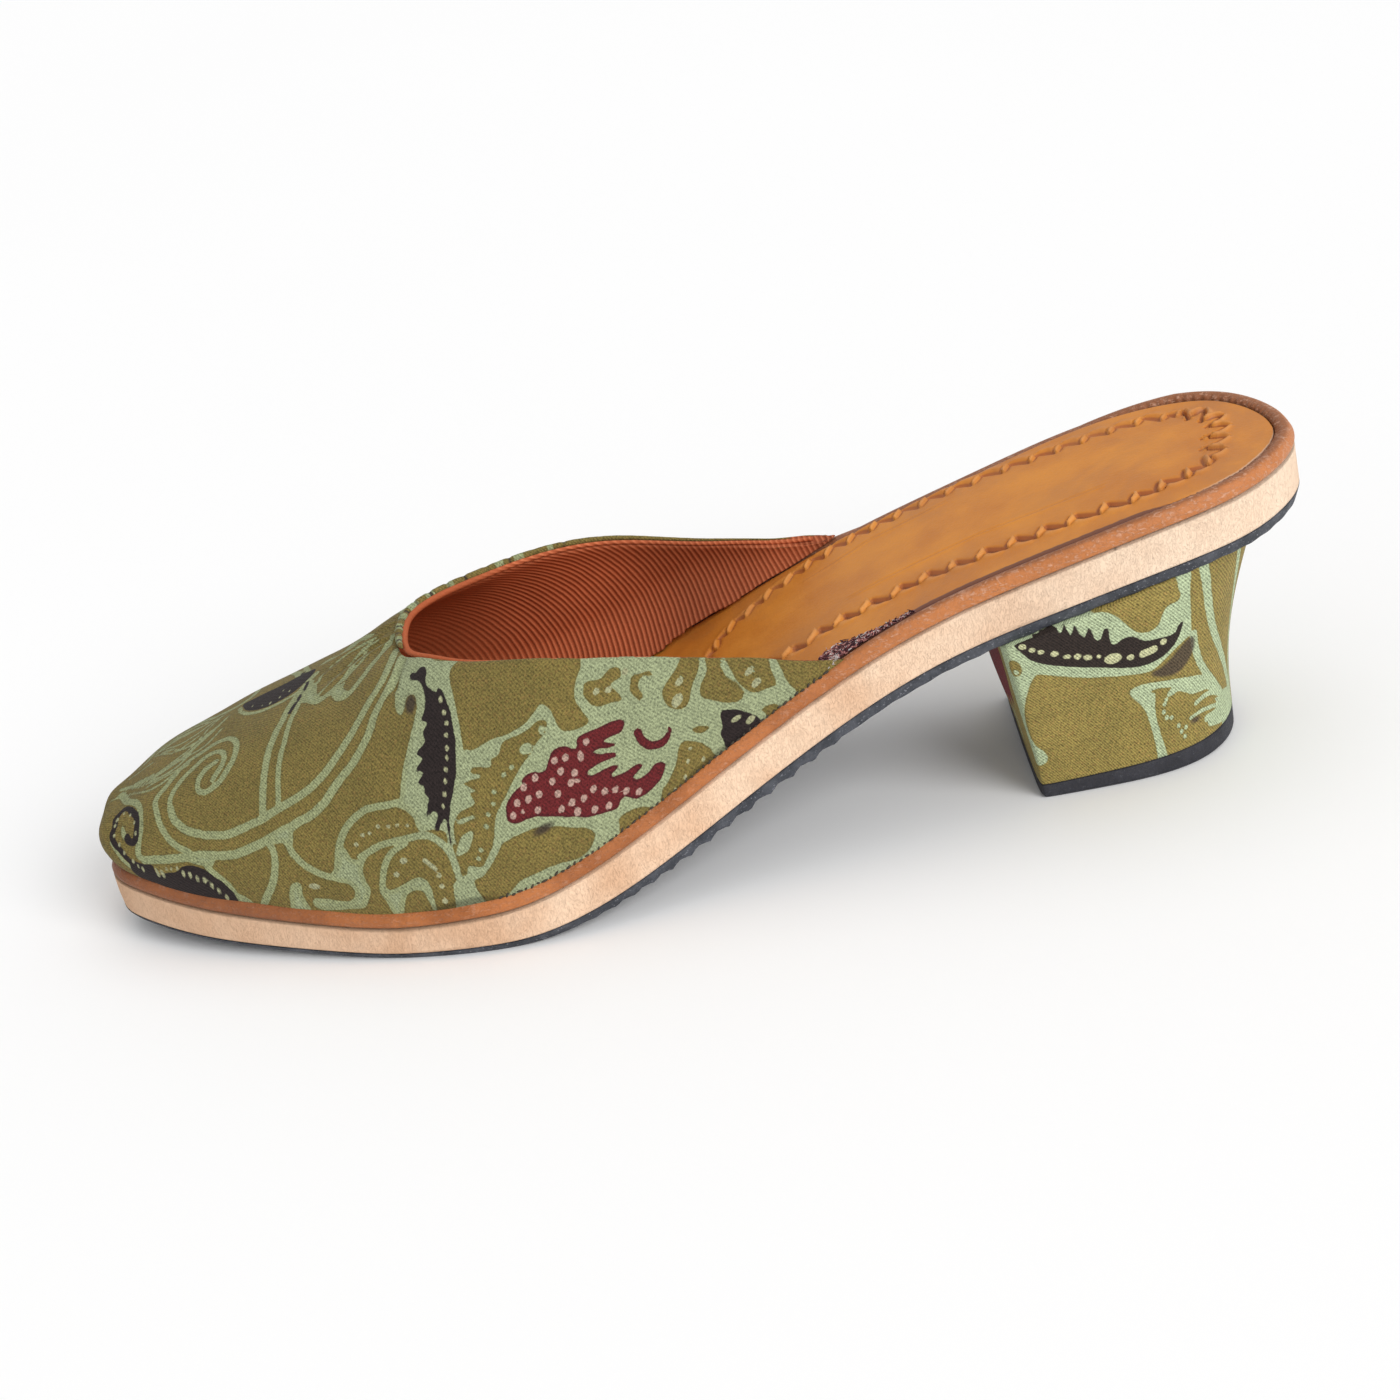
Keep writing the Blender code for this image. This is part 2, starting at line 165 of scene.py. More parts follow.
# %% Finishes
class Finish:
    """One material and its nodes. Patterns are measured in millimetres."""

    def __init__(self, name, **fixed):
        self.material = bpy.data.materials.new(name)
        self.material.use_nodes = True
        self.tree = self.material.node_tree
        self.shader = self.tree.nodes["Principled BSDF"]
        self.here = None
        for key, value in fixed.items():
            self.shader.inputs[key.replace("_", " ")].default_value = value

    def join(self, socket, value):
        """Gives a socket a wire, a number, or a colour of three numbers."""
        if isinstance(value, Wire):
            self.tree.links.new(value.socket, socket)
        elif socket.type == "RGBA" and len(value) == 3:
            socket.default_value = (*value, 1.0)
        else:
            socket.default_value = value

    def add(self, kind, settings=None, inputs=None, output=0):
        """Any node. Its settings are set first, then the sockets named in the inputs."""
        node = self.tree.nodes.new(kind)
        for key, value in (settings or {}).items():
            setattr(node, key, value)
        for key, value in (inputs or {}).items():
            self.join(node.inputs[key], value)
        return Wire(self, node.outputs[output])

    def math(self, operation, first, second=0.0):
        return self.add("ShaderNodeMath", {"operation": operation}, {0: first, 1: second})

    def place(self):
        """Place on the piece in millimetres."""
        if self.here is None:
            self.here = self.tint(self.add("ShaderNodeTexCoord", output="Object"), 1 / MM)
        return self.here

    def attribute(self, name):
        """A number that the mesh carries at its corners."""
        return self.add("ShaderNodeAttribute", {"attribute_name": name}, output="Fac")

    def step(self, value, low, high):
        """0 below low, 1 above high and smooth between. Low may be the larger."""
        inputs = {"Value": value, "From Min": low, "From Max": high}
        return self.add("ShaderNodeMapRange", {"interpolation_type": "SMOOTHSTEP"}, inputs)

    def noise(self, size, detail=2.0, roughness=0.5, stretch=None, at=None, twist=0.0):
        """Cloudy noise from 0 to 1, whose spots are about this many millimetres."""
        at = at or self.place()
        if stretch:
            at = self.add("ShaderNodeVectorMath", {"operation": "MULTIPLY"}, {0: at, 1: stretch})
        inputs = {
            "Vector": at, "Scale": 1 / size, "Detail": detail,
            "Roughness": roughness, "Distortion": twist,
        }
        return self.add("ShaderNodeTexNoise", None, inputs)

    def cells(self, size):
        """Distance to the nearest of many scattered points, about this many millimetres apart."""
        inputs = {"Vector": self.place(), "Scale": 1 / size}
        return self.add("ShaderNodeTexVoronoi", {"feature": "F1"}, inputs, "Distance")

    def vector(self, x, y):
        return self.add("ShaderNodeCombineXYZ", None, {0: x, 1: y})

    def mix(self, share, first, second):
        """Two colours mixed by a share of the second."""
        settings = {"data_type": "RGBA", "clamp_factor": True}
        return self.add("ShaderNodeMix", settings, {0: share, 6: first, 7: second}, 2)

    def tint(self, colour, amount):
        """A colour made lighter or darker by a wire near 1. It stretches a place in the same way."""
        return self.add("ShaderNodeVectorMath", {"operation": "SCALE"}, {0: colour, "Scale": amount})

    def bump(self, height, depth):
        """Relief in the shading: the height runs from 0 to 1 and is this many millimetres deep."""
        inputs = {"Height": height, "Distance": depth * MM, "Strength": 1.0}
        self.join(self.shader.inputs["Normal"], self.add("ShaderNodeBump", None, inputs))

    def show(self, **wires):
        """Joins wires to the shader's own sockets, written with _ for a space."""
        for key, value in wires.items():
            self.join(self.shader.inputs[key.replace("_", " ")], value)
        return self.material


print("a finish can", ", ".join(name for name in vars(Finish) if not name.startswith("_")))

# %% [markdown]
# ## Floor
# The floor is one wide face of plain white paper. It belongs to the set, not to the shoe.

# %% Lay a plain floor
FLOOR_SIDE = 3.0
floor_mesh = bmesh.new()
bmesh.ops.create_grid(floor_mesh, x_segments=1, y_segments=1, size=FLOOR_SIDE / 2)
floor_data = bpy.data.meshes.new("floor")
floor_mesh.to_mesh(floor_data)
floor_mesh.free()
floor = bpy.data.objects.new("floor", floor_data)
bpy.context.scene.collection.objects.link(floor)
paper = Finish("floor_paper", Roughness=0.9)
paper.show(Base_Color=paper.mix(paper.noise(400.0), (0.97, 0.97, 0.97), (0.99, 0.99, 0.99)))
floor_data.materials.append(paper.material)
print("floor is", FLOOR_SIDE, "m wide")

# %% [markdown]
# ## Copies that can be shaped
# A packed solid is a bag of loose triangles. A copy is merged at its corners, its triangles are paired into
# four-sided faces again, and its hard edges are creased, so that the Subdivision Surface modifier rounds
# what should be round and keeps what should be crisp. The result is a plain mesh, ready to be pushed about.


# %% Fine copies of a CAD node
MERGE = 2e-6  # metres
PAIR_ANGLE = math.radians(40)


def merged(node):
    """A bmesh of a CAD node with its corners joined and its faces paired."""
    copy = bmesh.new()
    copy.from_mesh(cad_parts[node].data)
    bmesh.ops.remove_doubles(copy, verts=copy.verts, dist=MERGE)
    bmesh.ops.join_triangles(
        copy, faces=copy.faces, angle_face_threshold=PAIR_ANGLE, angle_shape_threshold=math.pi
    )
    return copy


def rounded(copy, levels):
    """Frees the bmesh and returns its subdivided mesh."""
    rough = bpy.data.meshes.new("rough")
    copy.to_mesh(rough)
    copy.free()
    helper = bpy.data.objects.new("helper", rough)
    bpy.context.scene.collection.objects.link(helper)
    modifier = helper.modifiers.new("round", "SUBSURF")
    modifier.levels = modifier.render_levels = levels
    graph = bpy.context.evaluated_depsgraph_get()
    fine = bpy.data.meshes.new_from_object(helper.evaluated_get(graph), depsgraph=graph)
    bpy.data.objects.remove(helper)
    bpy.data.meshes.remove(rough)
    return fine


def softened(node, angle):
    """A rounded copy of a CAD node. Edges stay sharp where faces meet at more than this many degrees."""
    copy = merged(node)
    layer = copy.edges.layers.float.new("crease_edge")
    for edge in copy.edges:
        if edge.is_manifold and edge.calc_face_angle() > math.radians(angle):
            edge[layer] = 1.0
    return rounded(copy, 3)


def split_faces(mesh, wanted):
    """Cuts in four once more the faces that the test wants."""
    finer = bmesh.new()
    finer.from_mesh(mesh)
    edges = {edge for face in finer.faces if wanted(face) for edge in face.edges}
    bmesh.ops.subdivide_edges(finer, edges=list(edges), cuts=1, use_grid_fill=True)
    finer.to_mesh(mesh)
    finer.free()


print("CAD nodes:", sorted(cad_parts))

# %% [markdown]
# ## Corners as arrays
# NumPy moves a hundred thousand corners as easily as one, so a fine mesh is shaped by reading its corners as
# an array and putting them back. Numbers are carried at the corners too, for a finish to read. `show` makes
# the finished object and hides the CAD nodes that it stands for.


# %% Read, move and show a mesh
def column(things, name, kind=np.int32, width=1):
    """One property of all the corners or faces, as an array."""
    values = np.empty(len(things) * width, kind)
    things.foreach_get(name, values)
    return values


def points(mesh):
    """Places of a mesh's corners, in millimetres."""
    return column(mesh.vertices, "co", np.float32, 3).reshape(-1, 3).astype(float) / MM


def normals(mesh):
    """Which way the mesh faces at its corners."""
    return column(mesh.vertices, "normal", np.float32, 3).reshape(-1, 3).astype(float)


def move(mesh, places):
    """Puts a mesh's corners at new places, in millimetres."""
    mesh.vertices.foreach_set("co", (places * MM).astype(np.float32).ravel())
    mesh.update()


def carry(mesh, name, values):
    """Stores one number a corner for a finish to read."""
    layer = mesh.attributes.new(name, "FLOAT", "POINT")
    layer.data.foreach_set("value", np.asarray(values, np.float32))


def show(mesh, name, finishes, slot, *nodes):
    """Makes the object, which rides on the shoe and stands for the CAD nodes."""
    mesh.name = name
    numbers = column(mesh.polygons, "material_index")
    mesh.materials.clear()
    for finish in finishes:
        mesh.materials.append(finish.material)
    mesh.polygons.foreach_set("material_index", numbers if len(finishes) > 1 else 0 * numbers)
    mesh.shade_smooth()
    piece = bpy.data.objects.new(name, mesh)
    bpy.context.scene.collection.objects.link(piece)
    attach(piece, "root")
    if nodes:
        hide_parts(*nodes)
    print(name, "has", len(mesh.polygons), "faces")


print("the floor has", len(points(floor_data)), "corners")

# %% [markdown]
# ## Drawing a batik
# Batik is drawn by hand in wax, so its motifs are shapes with a place of their own, not a repeat. Each shape
# here is a short list of points on the cloth. A stroke has a width, and an area is closed. A curve through
# the points takes the corners off.

# %% Strokes, spots and curves
CURVE_STEPS, CRISP_STEPS = 4, 2  # points between two corners of a curve
Stroke = namedtuple("Stroke", "width points")
Spots = namedtuple("Spots", "wide tall places")


def path(text):
    """Points written as 'a,b a,b ...'."""
    return np.array([[float(part) for part in pair.split(",")] for pair in text.split()])


def curved(corners, closed, steps=CURVE_STEPS):
    """A smooth line through the corners."""
    count = len(corners)
    if count < 3:
        return corners
    if closed:
        before, start = np.roll(corners, 1, 0), corners
        end, after = np.roll(corners, -1, 0), np.roll(corners, -2, 0)
    else:
        padded = np.concatenate([corners[:1], corners, corners[-1:]])
        before, start, end, after = padded[:-3], padded[1:-2], padded[2:-1], padded[3:]
    share = (np.arange(steps) / steps)[None, :, None]
    before, start, end, after = (side[:, None, :] for side in (before, start, end, after))
    line = 0.5 * (
        2 * start + (end - before) * share
        + (2 * before - 5 * start + 4 * end - after) * share**2
        + (3 * start - before - 3 * end + after) * share**3
    )
    line = line.reshape(-1, 2)
    return line if closed else np.concatenate([line, corners[-1:]])


print("a curve through 3 corners has", len(curved(path("0,0 1,1 2,0"), False)), "points")

# %% [markdown]
# ## Distance from a drawing
# For every corner of the cloth's mesh, `Cloth` works out how far it lies from the edge of the nearest shape,
# less than nothing inside. The finish turns that distance into a soft-edged print, so the drawing stays crisp
# between the mesh's corners.

# %% Distance from a drawn shape
FAR = 9.0  # a distance that counts as nowhere near
REACH = 3.0  # how far from a shape its distance is still worked out
DYES = ("mint", "dark", "crimson", "pale", "pink", "dusk")


class Cloth:
    """Corners of a mesh on the cloth's own chart, and the size of the chart's two units there in mm."""

    def __init__(self, first, second, first_size, second_size):
        self.at = np.stack([first, second], 1)
        self.size = np.ones_like(self.at) * np.stack(np.broadcast_arrays(first_size, second_size), -1)

    def blank(self):
        return np.full(len(self.at), FAR)

    def distance(self, line, closed):
        """Corners near a line, and their distance from it. Inside a closed line it is negative."""
        ends = np.roll(line, -1, 0) if closed else line[1:]
        starts = line if closed else line[:-1]
        margin = REACH / self.size
        low, high = line.min(0), line.max(0)
        near = np.nonzero(((self.at > low - margin) & (self.at < high + margin)).all(1))[0]
        best = np.full(len(near), FAR)
        inside = np.zeros(len(near), bool)
        at, size = self.at[near], self.size[near]
        for start, end in zip(starts, ends):
            to_start = (start - at) * size
            along = (end - start) * size
            length = np.maximum((along**2).sum(1), 1e-9)
            share = np.clip(-(to_start * along).sum(1) / length, 0, 1)
            best = np.minimum(best, np.hypot(*(to_start + along * share[:, None]).T))
            if closed and start[1] != end[1]:
                crosses = (start[1] > at[:, 1]) != (end[1] > at[:, 1])
                where = start[0] + (end[0] - start[0]) * (at[:, 1] - start[1]) / (end[1] - start[1])
                inside ^= crosses & (at[:, 0] < where)
        return near, np.where(inside, -best, best)

    def stroke(self, field, stroke):
        near, gap = self.distance(curved(path(stroke.points), False), False)
        field[near] = np.minimum(field[near], gap - stroke.width / 2)

    def area(self, field, text, steps=CURVE_STEPS):
        near, gap = self.distance(curved(path(text), True, steps), True)
        field[near] = np.minimum(field[near], gap)

    def crisp_area(self, field, text):
        """An area that keeps more of its corners."""
        self.area(field, text, CRISP_STEPS)

    def cut(self, field, text):
        """Takes an area out of what is drawn already."""
        near, gap = self.distance(curved(path(text), True), True)
        field[near] = np.maximum(field[near], -gap)

    def spots(self, field, group):
        """Ovals that share their two half sizes, in mm."""
        for centre in path(group.places):
            gap = (self.at - centre) * self.size / (group.wide, group.tall)
            field[:] = np.minimum(field, (np.hypot(*gap.T) - 1) * min(group.wide, group.tall))

    def bite(self, field, group):
        """Takes ovals out of what is drawn already."""
        hole = self.blank()
        self.spots(hole, group)
        field[:] = np.maximum(field, -hole)


def printed(cloth, layers):
    """Each dye's field: how far every corner lies from the edge of what is drawn in that dye."""
    fields = {dye: cloth.blank() for dye in DYES}
    for dye, draw, shapes in layers:
        for shape in shapes:
            draw(cloth, fields[dye], shape)
    return fields


print("a cloth takes", len(DYES), "dyes")

# %% [markdown]
# ## The motifs of the upper
# The cloth of the upper is charted like a globe. Station is millimetres from the toe end along the sole.
# Turn is degrees round the foot: 0 at the inner foot of the cloth, 90 on the ridge, 180 at the outer foot.
# Vines and leaves come first, in mint: the ground of the cloth is olive.

# %% Vines and leaves
INNER_SCROLLS = [  # drawn on the inner side only
    Stroke(1.2, "20.3,42 20.2,47 20.8,52 22,57.5 23.5,61.5 25,65 27,67 29,66.5 30.2,63.5 30.3,59 29.6,55.5"
           " 28.3,52 27.9,50.5"),
    Stroke(1.6, "20.3,42 20.7,37 21.5,33 22.6,29.5 24.5,27 27,26.3 30,26.3 33,28 36,29.8 38,31 41,33.5"
           " 45,36.3 47.5,38.3 50.5,41.5 53,45 55,48.5 57,51.8 59,55.5 61,59.5 63,63.5 65,67.5 66.2,71"
           " 67.3,75.5 68.3,81"),
]
MINT_STROKES = [
    Stroke(1.3, "22.5,20.5 21.3,23 20.1,27 19.2,32 18.6,37 18.2,42 17.8,48 18.1,52 19.2,56 20.3,61 21.5,66"
           " 23,70 25,72 28,74.5 31,73.5 32.7,69 33,63 32.3,57.5 31,53 29.5,49 27.5,46.3 26,45.3 24.6,47"
           " 24.4,51 25.2,55 26.5,58 28.5,60"),
    Stroke(1.7, "16,19.2 20,18.5 24,18.7 28,18.5 31,19 34,20.8 37,22.8 40,25 43,27 45,28.7 48,30.8 51,34"
           " 53,37.5 55.3,41 58,44.5 60,48 62,52 63,55.5 64.5,59.5 66.5,63.5 68,67.5 69,71.5 69.8,75"),
    Stroke(1.4, "38.7,22 39.2,19 38.9,15 38,10.5 36.5,6 35,2.5 34.2,0"),
    Stroke(1.4, "42,24 42.6,21 43.5,18 46,14.3 49,12.2 51,11.8"),
    Stroke(1.5, "38,32 38.2,36 38.5,40 39,46 39.7,52 40.3,57 41.2,61.5 42,66 43,70 43.9,76 45,82 46.3,88"
           " 48,94 49.5,98"),
    Stroke(1.1, "41.5,34 41.7,38 41.9,42 42.3,48 43,54 43.8,59 44.4,64 45,69 45.9,74 46.8,80 47.5,85 49,92"),
    Stroke(1.3, "23.5,17.5 24.8,13.5 26.5,10.5 28.3,7 29.3,3"),
    Stroke(1.4, "10.2,76 10.8,70 11.5,64 12.5,59 14,55 15,50 15.4,45 15.6,40 15.7,34 15.4,28 15.3,22"
           " 16,19.5"),
    Stroke(0.9, "11.3,32 12.3,22 13.2,17 13.8,15"),
    Stroke(1.0, "10,84 12,78 14.5,74 17,71.5 20,74 22.5,79 24,84 26,90"),
    Stroke(0.7, "10,84.4 13.9,70.1 18.2,67 21.1,70.4 23.3,81.2 26.9,89.1 29.7,97.5"),
    Stroke(0.6, "12.4,79.5 16.7,74.3 20.3,78.2 23,84.5 25.3,95.7 27.9,102.6"),
    Stroke(0.6, "8.4,72.9 10.2,72.6 15.1,60.9 18,60 20.5,64 22.8,66.6"),
    Stroke(0.6, "16.4,105.1 19.7,95.3 22.8,96.6 25.6,101.6 29,103.6"),
    Stroke(0.5, "15.4,102.4 19.1,87.8 21.7,89.4 23.5,92.6"),
    Stroke(0.5, "10.7,97.3 12.8,94.6 15.4,92.1"),
    Stroke(0.6, "30.9,111.7 33.5,107.5 35.9,107.5"),
    Stroke(1.1, "47.5,80 49,76.5 51,75 53,76.5 55.5,80 57.5,84 60,90 61.5,98"),
    Stroke(1.5, "54.5,75 55.5,71 57,70 59,72 61.5,76.5 64,81.5 66,86 67.2,92"),
    Stroke(1.0, "32.3,100 32.8,95 34.5,89.5 37.5,86.2 41,85.8 44,86.8"),
    Stroke(1.4, "51.5,14 52.3,19 53.3,23 55.3,27 58,29.8 60.5,30.8 63.5,30.6 66,30.5"),
    Stroke(1.3, "56.5,17.5 58.5,19 61,20.3 64,20.8 67,20.5 70,19.5 72,17.5 73.5,15 74.5,12 74.8,9 75,6"),
    Stroke(1.2, "66,19.5 63,18 61,14.5 60,10.5 59.6,7.5 60.5,4 61,1.5"),
    Stroke(0.8, "75.3,15.5 75.5,19 76.3,21.5 78,23.8 80,25"),
    Stroke(0.6, "17,98 19,93 21,86 24,87 27,91 30,98"), Stroke(0.6, "15.5,68 18.5,74 22,75 25.5,77.5 29,87"),
    Stroke(0.5, "15.3,64 19,65 21.5,67 23.5,70"), Stroke(0.8, "34,90 36.5,86.5 40,86 43,86 45.5,88"),
    Stroke(0.6, "65.5,90 62.5,88 59,84 57,80.5 56,75"),
    Stroke(0.6, "64,93.5 60,94 56.5,90 53.5,83.5 51,78.5"),
    Stroke(0.6, "63,98 57,101 53.5,99 51.5,95 50.5,89"),
    Stroke(0.8, "77.3,19.9 80.1,21.3"),
]
MINT_AREAS = [
    "40,26.5 44,28.8 43.8,25.5 43.3,22 42.5,20.5 41.5,22.5 39.5,22.5",
    "21.5,19.5 26.5,18.5 25.8,14.5 24,14.5 22.3,16.5",
    "40,-3 40.2,3.5 41,8 42,9.6 43.4,9.4 43.2,6 43.5,3.5 44,1.5 44.3,-3",
    "29,-3 29.3,3.6 31,3.3 32.3,0.8 32.5,-3",
    "50,13 51.5,16 52,20 53.7,21 54.3,18.5 55,17.2 56.8,17.3 57.5,18.6 58.5,18.3 57,15.8 56.5,13.5"
    " 56.7,10.5 57.2,8 56.3,5 55,2.8 52,2.3 48,1.5 45.5,1.8 44.9,3.5 45.8,4.7 49,4.5 52,4.3 53.5,5.5 54,8"
    " 53,9.8 51,10.5 49,11.5",
    "59.5,8 62.5,8 64.5,9.5 66,9.8 67.5,9.5 69,7 69.2,2 69,-3 68.2,-3 67.8,4 67,6 65,6.3 63.5,4 62.3,0.5"
    " 61,0 60,3",
    "69,21 68.5,25 67,28 65,30 66,30.5 66.8,32.5 67.3,35 68,38 69,41 70.2,44.5 71,47 71.8,49.5 72.4,52"
    " 72.5,54 72.2,56.3 71.2,57 70.3,56.5 70,54.5 69.3,52.9 68.7,53.2 68.1,55 68,58 68.3,62 68.9,66 70,72"
    " 72,76 75,74 76,70 76.2,66.5 77,64.8 79,63.8 81.4,63.2 80.6,61.5 79.9,60 79.6,57.5 79.9,53 80.3,47"
    " 80.5,41 80.5,37.5 80.5,30 80.2,24 79,20 77,16 75.3,12 74,12 74.3,18 72,20",
    "12.5,42 12.7,34 13.7,30 14.2,27",
    "47.5,84 48.5,90 50,88 50.5,79 52.5,75 53.5,76.5 54.5,78 56,78 57,73.5 58.5,71 57,70 55.5,69.5 54.5,73"
    " 53.5,75 52.5,74 50.5,73 48.5,76 47.5,79",
    "75,-3 75,6 76,12 78,20 79,30 80.5,37.5 82,37.6 84,38.5 86,39.2 88.5,39.1 91,39.4 93,40 95,41.7"
    " 96.3,43 97.3,42.3 98.1,40.8 98.6,38.4 99.3,35.3 100.8,34 103.6,33.7 104.8,34.1 104.9,35 104,37.5"
    " 103.1,40.5 103.1,42.6 103.6,44.7 104.2,46.2 105.1,48 105.3,49.5 106,56 110,60 130,40 160,6 160,-3",
]
print(len(MINT_STROKES), "vines and", len(MINT_AREAS), "leaves")

# %% [markdown]
# ## Islands, pods and flowers
# Islands of the olive ground are left inside the mint. Spiny pods are nearly black, and the flower and the
# small crescent behind it are crimson.

# %% Islands, pods and flowers
OLIVE_ISLANDS = [
    "53.6,20.8 55,24 57,27 59.5,28.6 62,29 64.8,28 66.8,26.3 68,24 69,21 65,21 62,21 60,20.4 57.5,18.8"
    " 56,17.2 55,17.5 54.5,20",
    "60.6,8.3 61,12 62.3,15.2 64.2,17.8 66.5,18.8 69,17.8 71,15.8 72.8,13.2 73.8,10 74,7.5 73.5,4 72.5,-3"
    " 69.5,-3 69.3,4 68.7,8 67.3,9.7 65.3,9.5 63,8.3 61.5,7.8",
    "62.3,-3 63.5,4 65,6.3 67,6 68,3 68.2,-3",
    "75.2,12 75,14 75.6,18 76.2,20 76.8,21.3 78,22.7 79.8,23.8 80.8,25 80.3,27.2 81.3,28 80,29 79.5,29.7"
    " 81.5,30.8 82.8,31.2 82.6,31.9 81.2,32.2 81.3,33.2 82.3,33.8 84.5,33.2 85.3,33.4 85.5,34.8 86.5,35"
    " 87.2,35.6 88,37.5 89.5,38 91.5,38 93.5,38.5 95,39.3 96.2,39.3 97,38.5 96.9,37 96.3,35.6 94.5,34.5"
    " 93.6,33 92.8,32.2 91.5,31.3 90.5,30.3 89.5,29 88,27 86.7,25 85.3,23 84.3,21 83.7,18.5 83.2,16"
    " 82.6,13.8 81.5,11.5 80.6,9.5 79.6,8 77.3,8.3 76.5,6 75.6,6.3 75.2,9",
    "77.7,3 78,4.5 79.5,5.5 81,7.8 82.5,10.5 84,13.3 85,14.4 87.5,15 90,15 92,14.6 94,13.3 96,12 98,10"
    " 100,8.3 101.5,6.3 102,4.5 101.3,3 100,1.8 98,1.6 95.5,2.5 93,3.2 91,3.4 88,3.5 86,3.1 84.3,1.7"
    " 83,0.5 82,-3 80,-3 78.5,0.3",
    "105.8,44.1 106.9,43.7 108.4,43.1 109.6,43.8 110.5,44.4 112.1,43.8 112.5,42.3 112.1,40.8 110.8,40.8"
    " 110.1,40.2 110.5,39 111.5,36.8 111.6,35 109.9,35.9 108.7,36.2 107.2,36.7 105.7,38.4 105.1,39.9"
    " 104.8,41.7 105.1,43.4",
    "114.2,39.3 114.9,39.7 116,39 117.5,38.4 118.3,36.8 117.8,36.2 116.9,37.8 115.7,37.5 115.2,35.9"
    " 115.7,33.8 115.7,32.3 115.2,32 114.2,34.1 113.6,36.2 113.9,38.4",
    "119.5,30 121,31.8 123,33.5 125,37 127.5,37 127.3,30 126.5,27.5 125.4,25.5 124.8,23.5"
    " 124.1,21.4 123.2,20.6 121.9,21.5 120.6,23.8 119.7,26.5",
    "128.6,27.5 128.8,34 131.6,34 131.3,25.9 131.5,24.1 132,21.4 133,18.7 134.1,15.6 134.6,13 134,11.5"
    " 132.5,12.2 130.1,14.6 128.2,17.4 126.7,20 126.6,22.6 127.4,24.4 128.3,25.9",
    "133.2,22 132.6,30 140.2,30 140.5,16.2 140.6,13.8 140.8,11.4 141.1,9.6"
    " 140.8,7.7 139.2,8.9 137.2,10 135.6,12.6 134.5,15.6 133.6,19",
    "142.5,12 142,20 150,20 160,12 160,-6 145.8,-6 145.3,-1 144.6,2 143.7,5 143,8",
    "137.4,3.7 138.9,3.5 140.4,2 141.9,-3 138.9,-3 138,1.7",
    "121.3,11.2 122.2,10.8 123.5,8.7 124.9,6.6 125.8,4.2 126.7,1.8 126.9,-3 115.7,-3 115.8,2.7 117.3,3.9"
    " 118.8,5.4 119.8,7.5 120.4,9.9",
    "123.8,12.4 124.8,12.4 126.1,10.8 127,9.6 126.9,8.7 125.5,9 124.3,10.8",
    "107,4.3 108.5,4.5 110.1,4 111.9,3 112.8,2 113.4,1.2 113.4,-3 106.5,-3 106.7,2.5",
]
MINT_PATCHES = ["75.6,11.7 76.1,14 77,16 78.5,17.3 79.4,17.7 79.2,16 78.6,14 77.8,12.5 76.5,11.6"]
DARK_AREAS = [
    "71.6,63.8 72.3,64 72.8,63.4 73.6,64.2 74.2,64.3 75,63.5 75.1,61.5 74.8,60 74.8,58 75.4,56.3 76.2,54.9"
    " 76.7,54.4 77,55.3 77.6,55 78.2,53 78.7,50 79.1,47 79.2,43 79.2,40 78.9,37 78.4,32.5 77.8,30 76.9,27"
    " 76.1,24.5 75.5,21.5 75.3,20.3 74.7,21.5 74,21.7 72.8,19 72.2,20.3 73.3,23 73,24.7 71.2,23.7 71.7,26.3"
    " 72.2,28 71.5,29.7 71.8,30.7 71.5,32 70.5,32.1 70.8,33.2 72.1,34.8 70.4,36 71.3,37 72.3,38.2 71.2,40.1"
    " 73.2,41.8 73.1,44.7 74.2,46.5 73.1,48 73.7,49.8 74.2,51.9 74.3,54.7 74,57.7 73.2,60.1 71.7,61.9",
    "14.2,19 15.8,17.2 17.1,16.5 17.3,13.5 17.8,11.5 18.8,12.5 20.5,12.7 21.3,14.8 22.6,14.9 24.2,12.8"
    " 25.8,10.2 27.3,8.2 28.5,5.5 29.1,3 28.7,-3 20,-3 16,-3 14,8 13.3,15",
    "129.7,12 130.1,11.7 131.3,10.8 132.8,9.3 134.1,7.2 135.3,4.7 136.5,2.3 137.2,-3 130.4,-3 129.2,2.3"
    " 128.9,4.4 129.5,6.2 129.5,8.7",
    "33,104 33.2,98 34.2,93 36.5,89 39,87.6 42,87.8 44.5,89.5 46.5,93 48.5,98 49,103 46,106 42,107.5 37,107",
]
DARK_STROKES = [
    Stroke(1.2, "14.3,16.5 13.5,20 12.7,25 11.8,30 11.3,36 11.5,42 11.4,48 12.3,53.5 13.5,50"),
    Stroke(1.5, "13.5,50 14.6,45 15,40 15,33 14.8,29.5 14,30 13.5,33"),
    Stroke(0.5, "75,21 74.9,14.5"), Stroke(0.9, "48,93 46.5,83 44.5,74"),
]
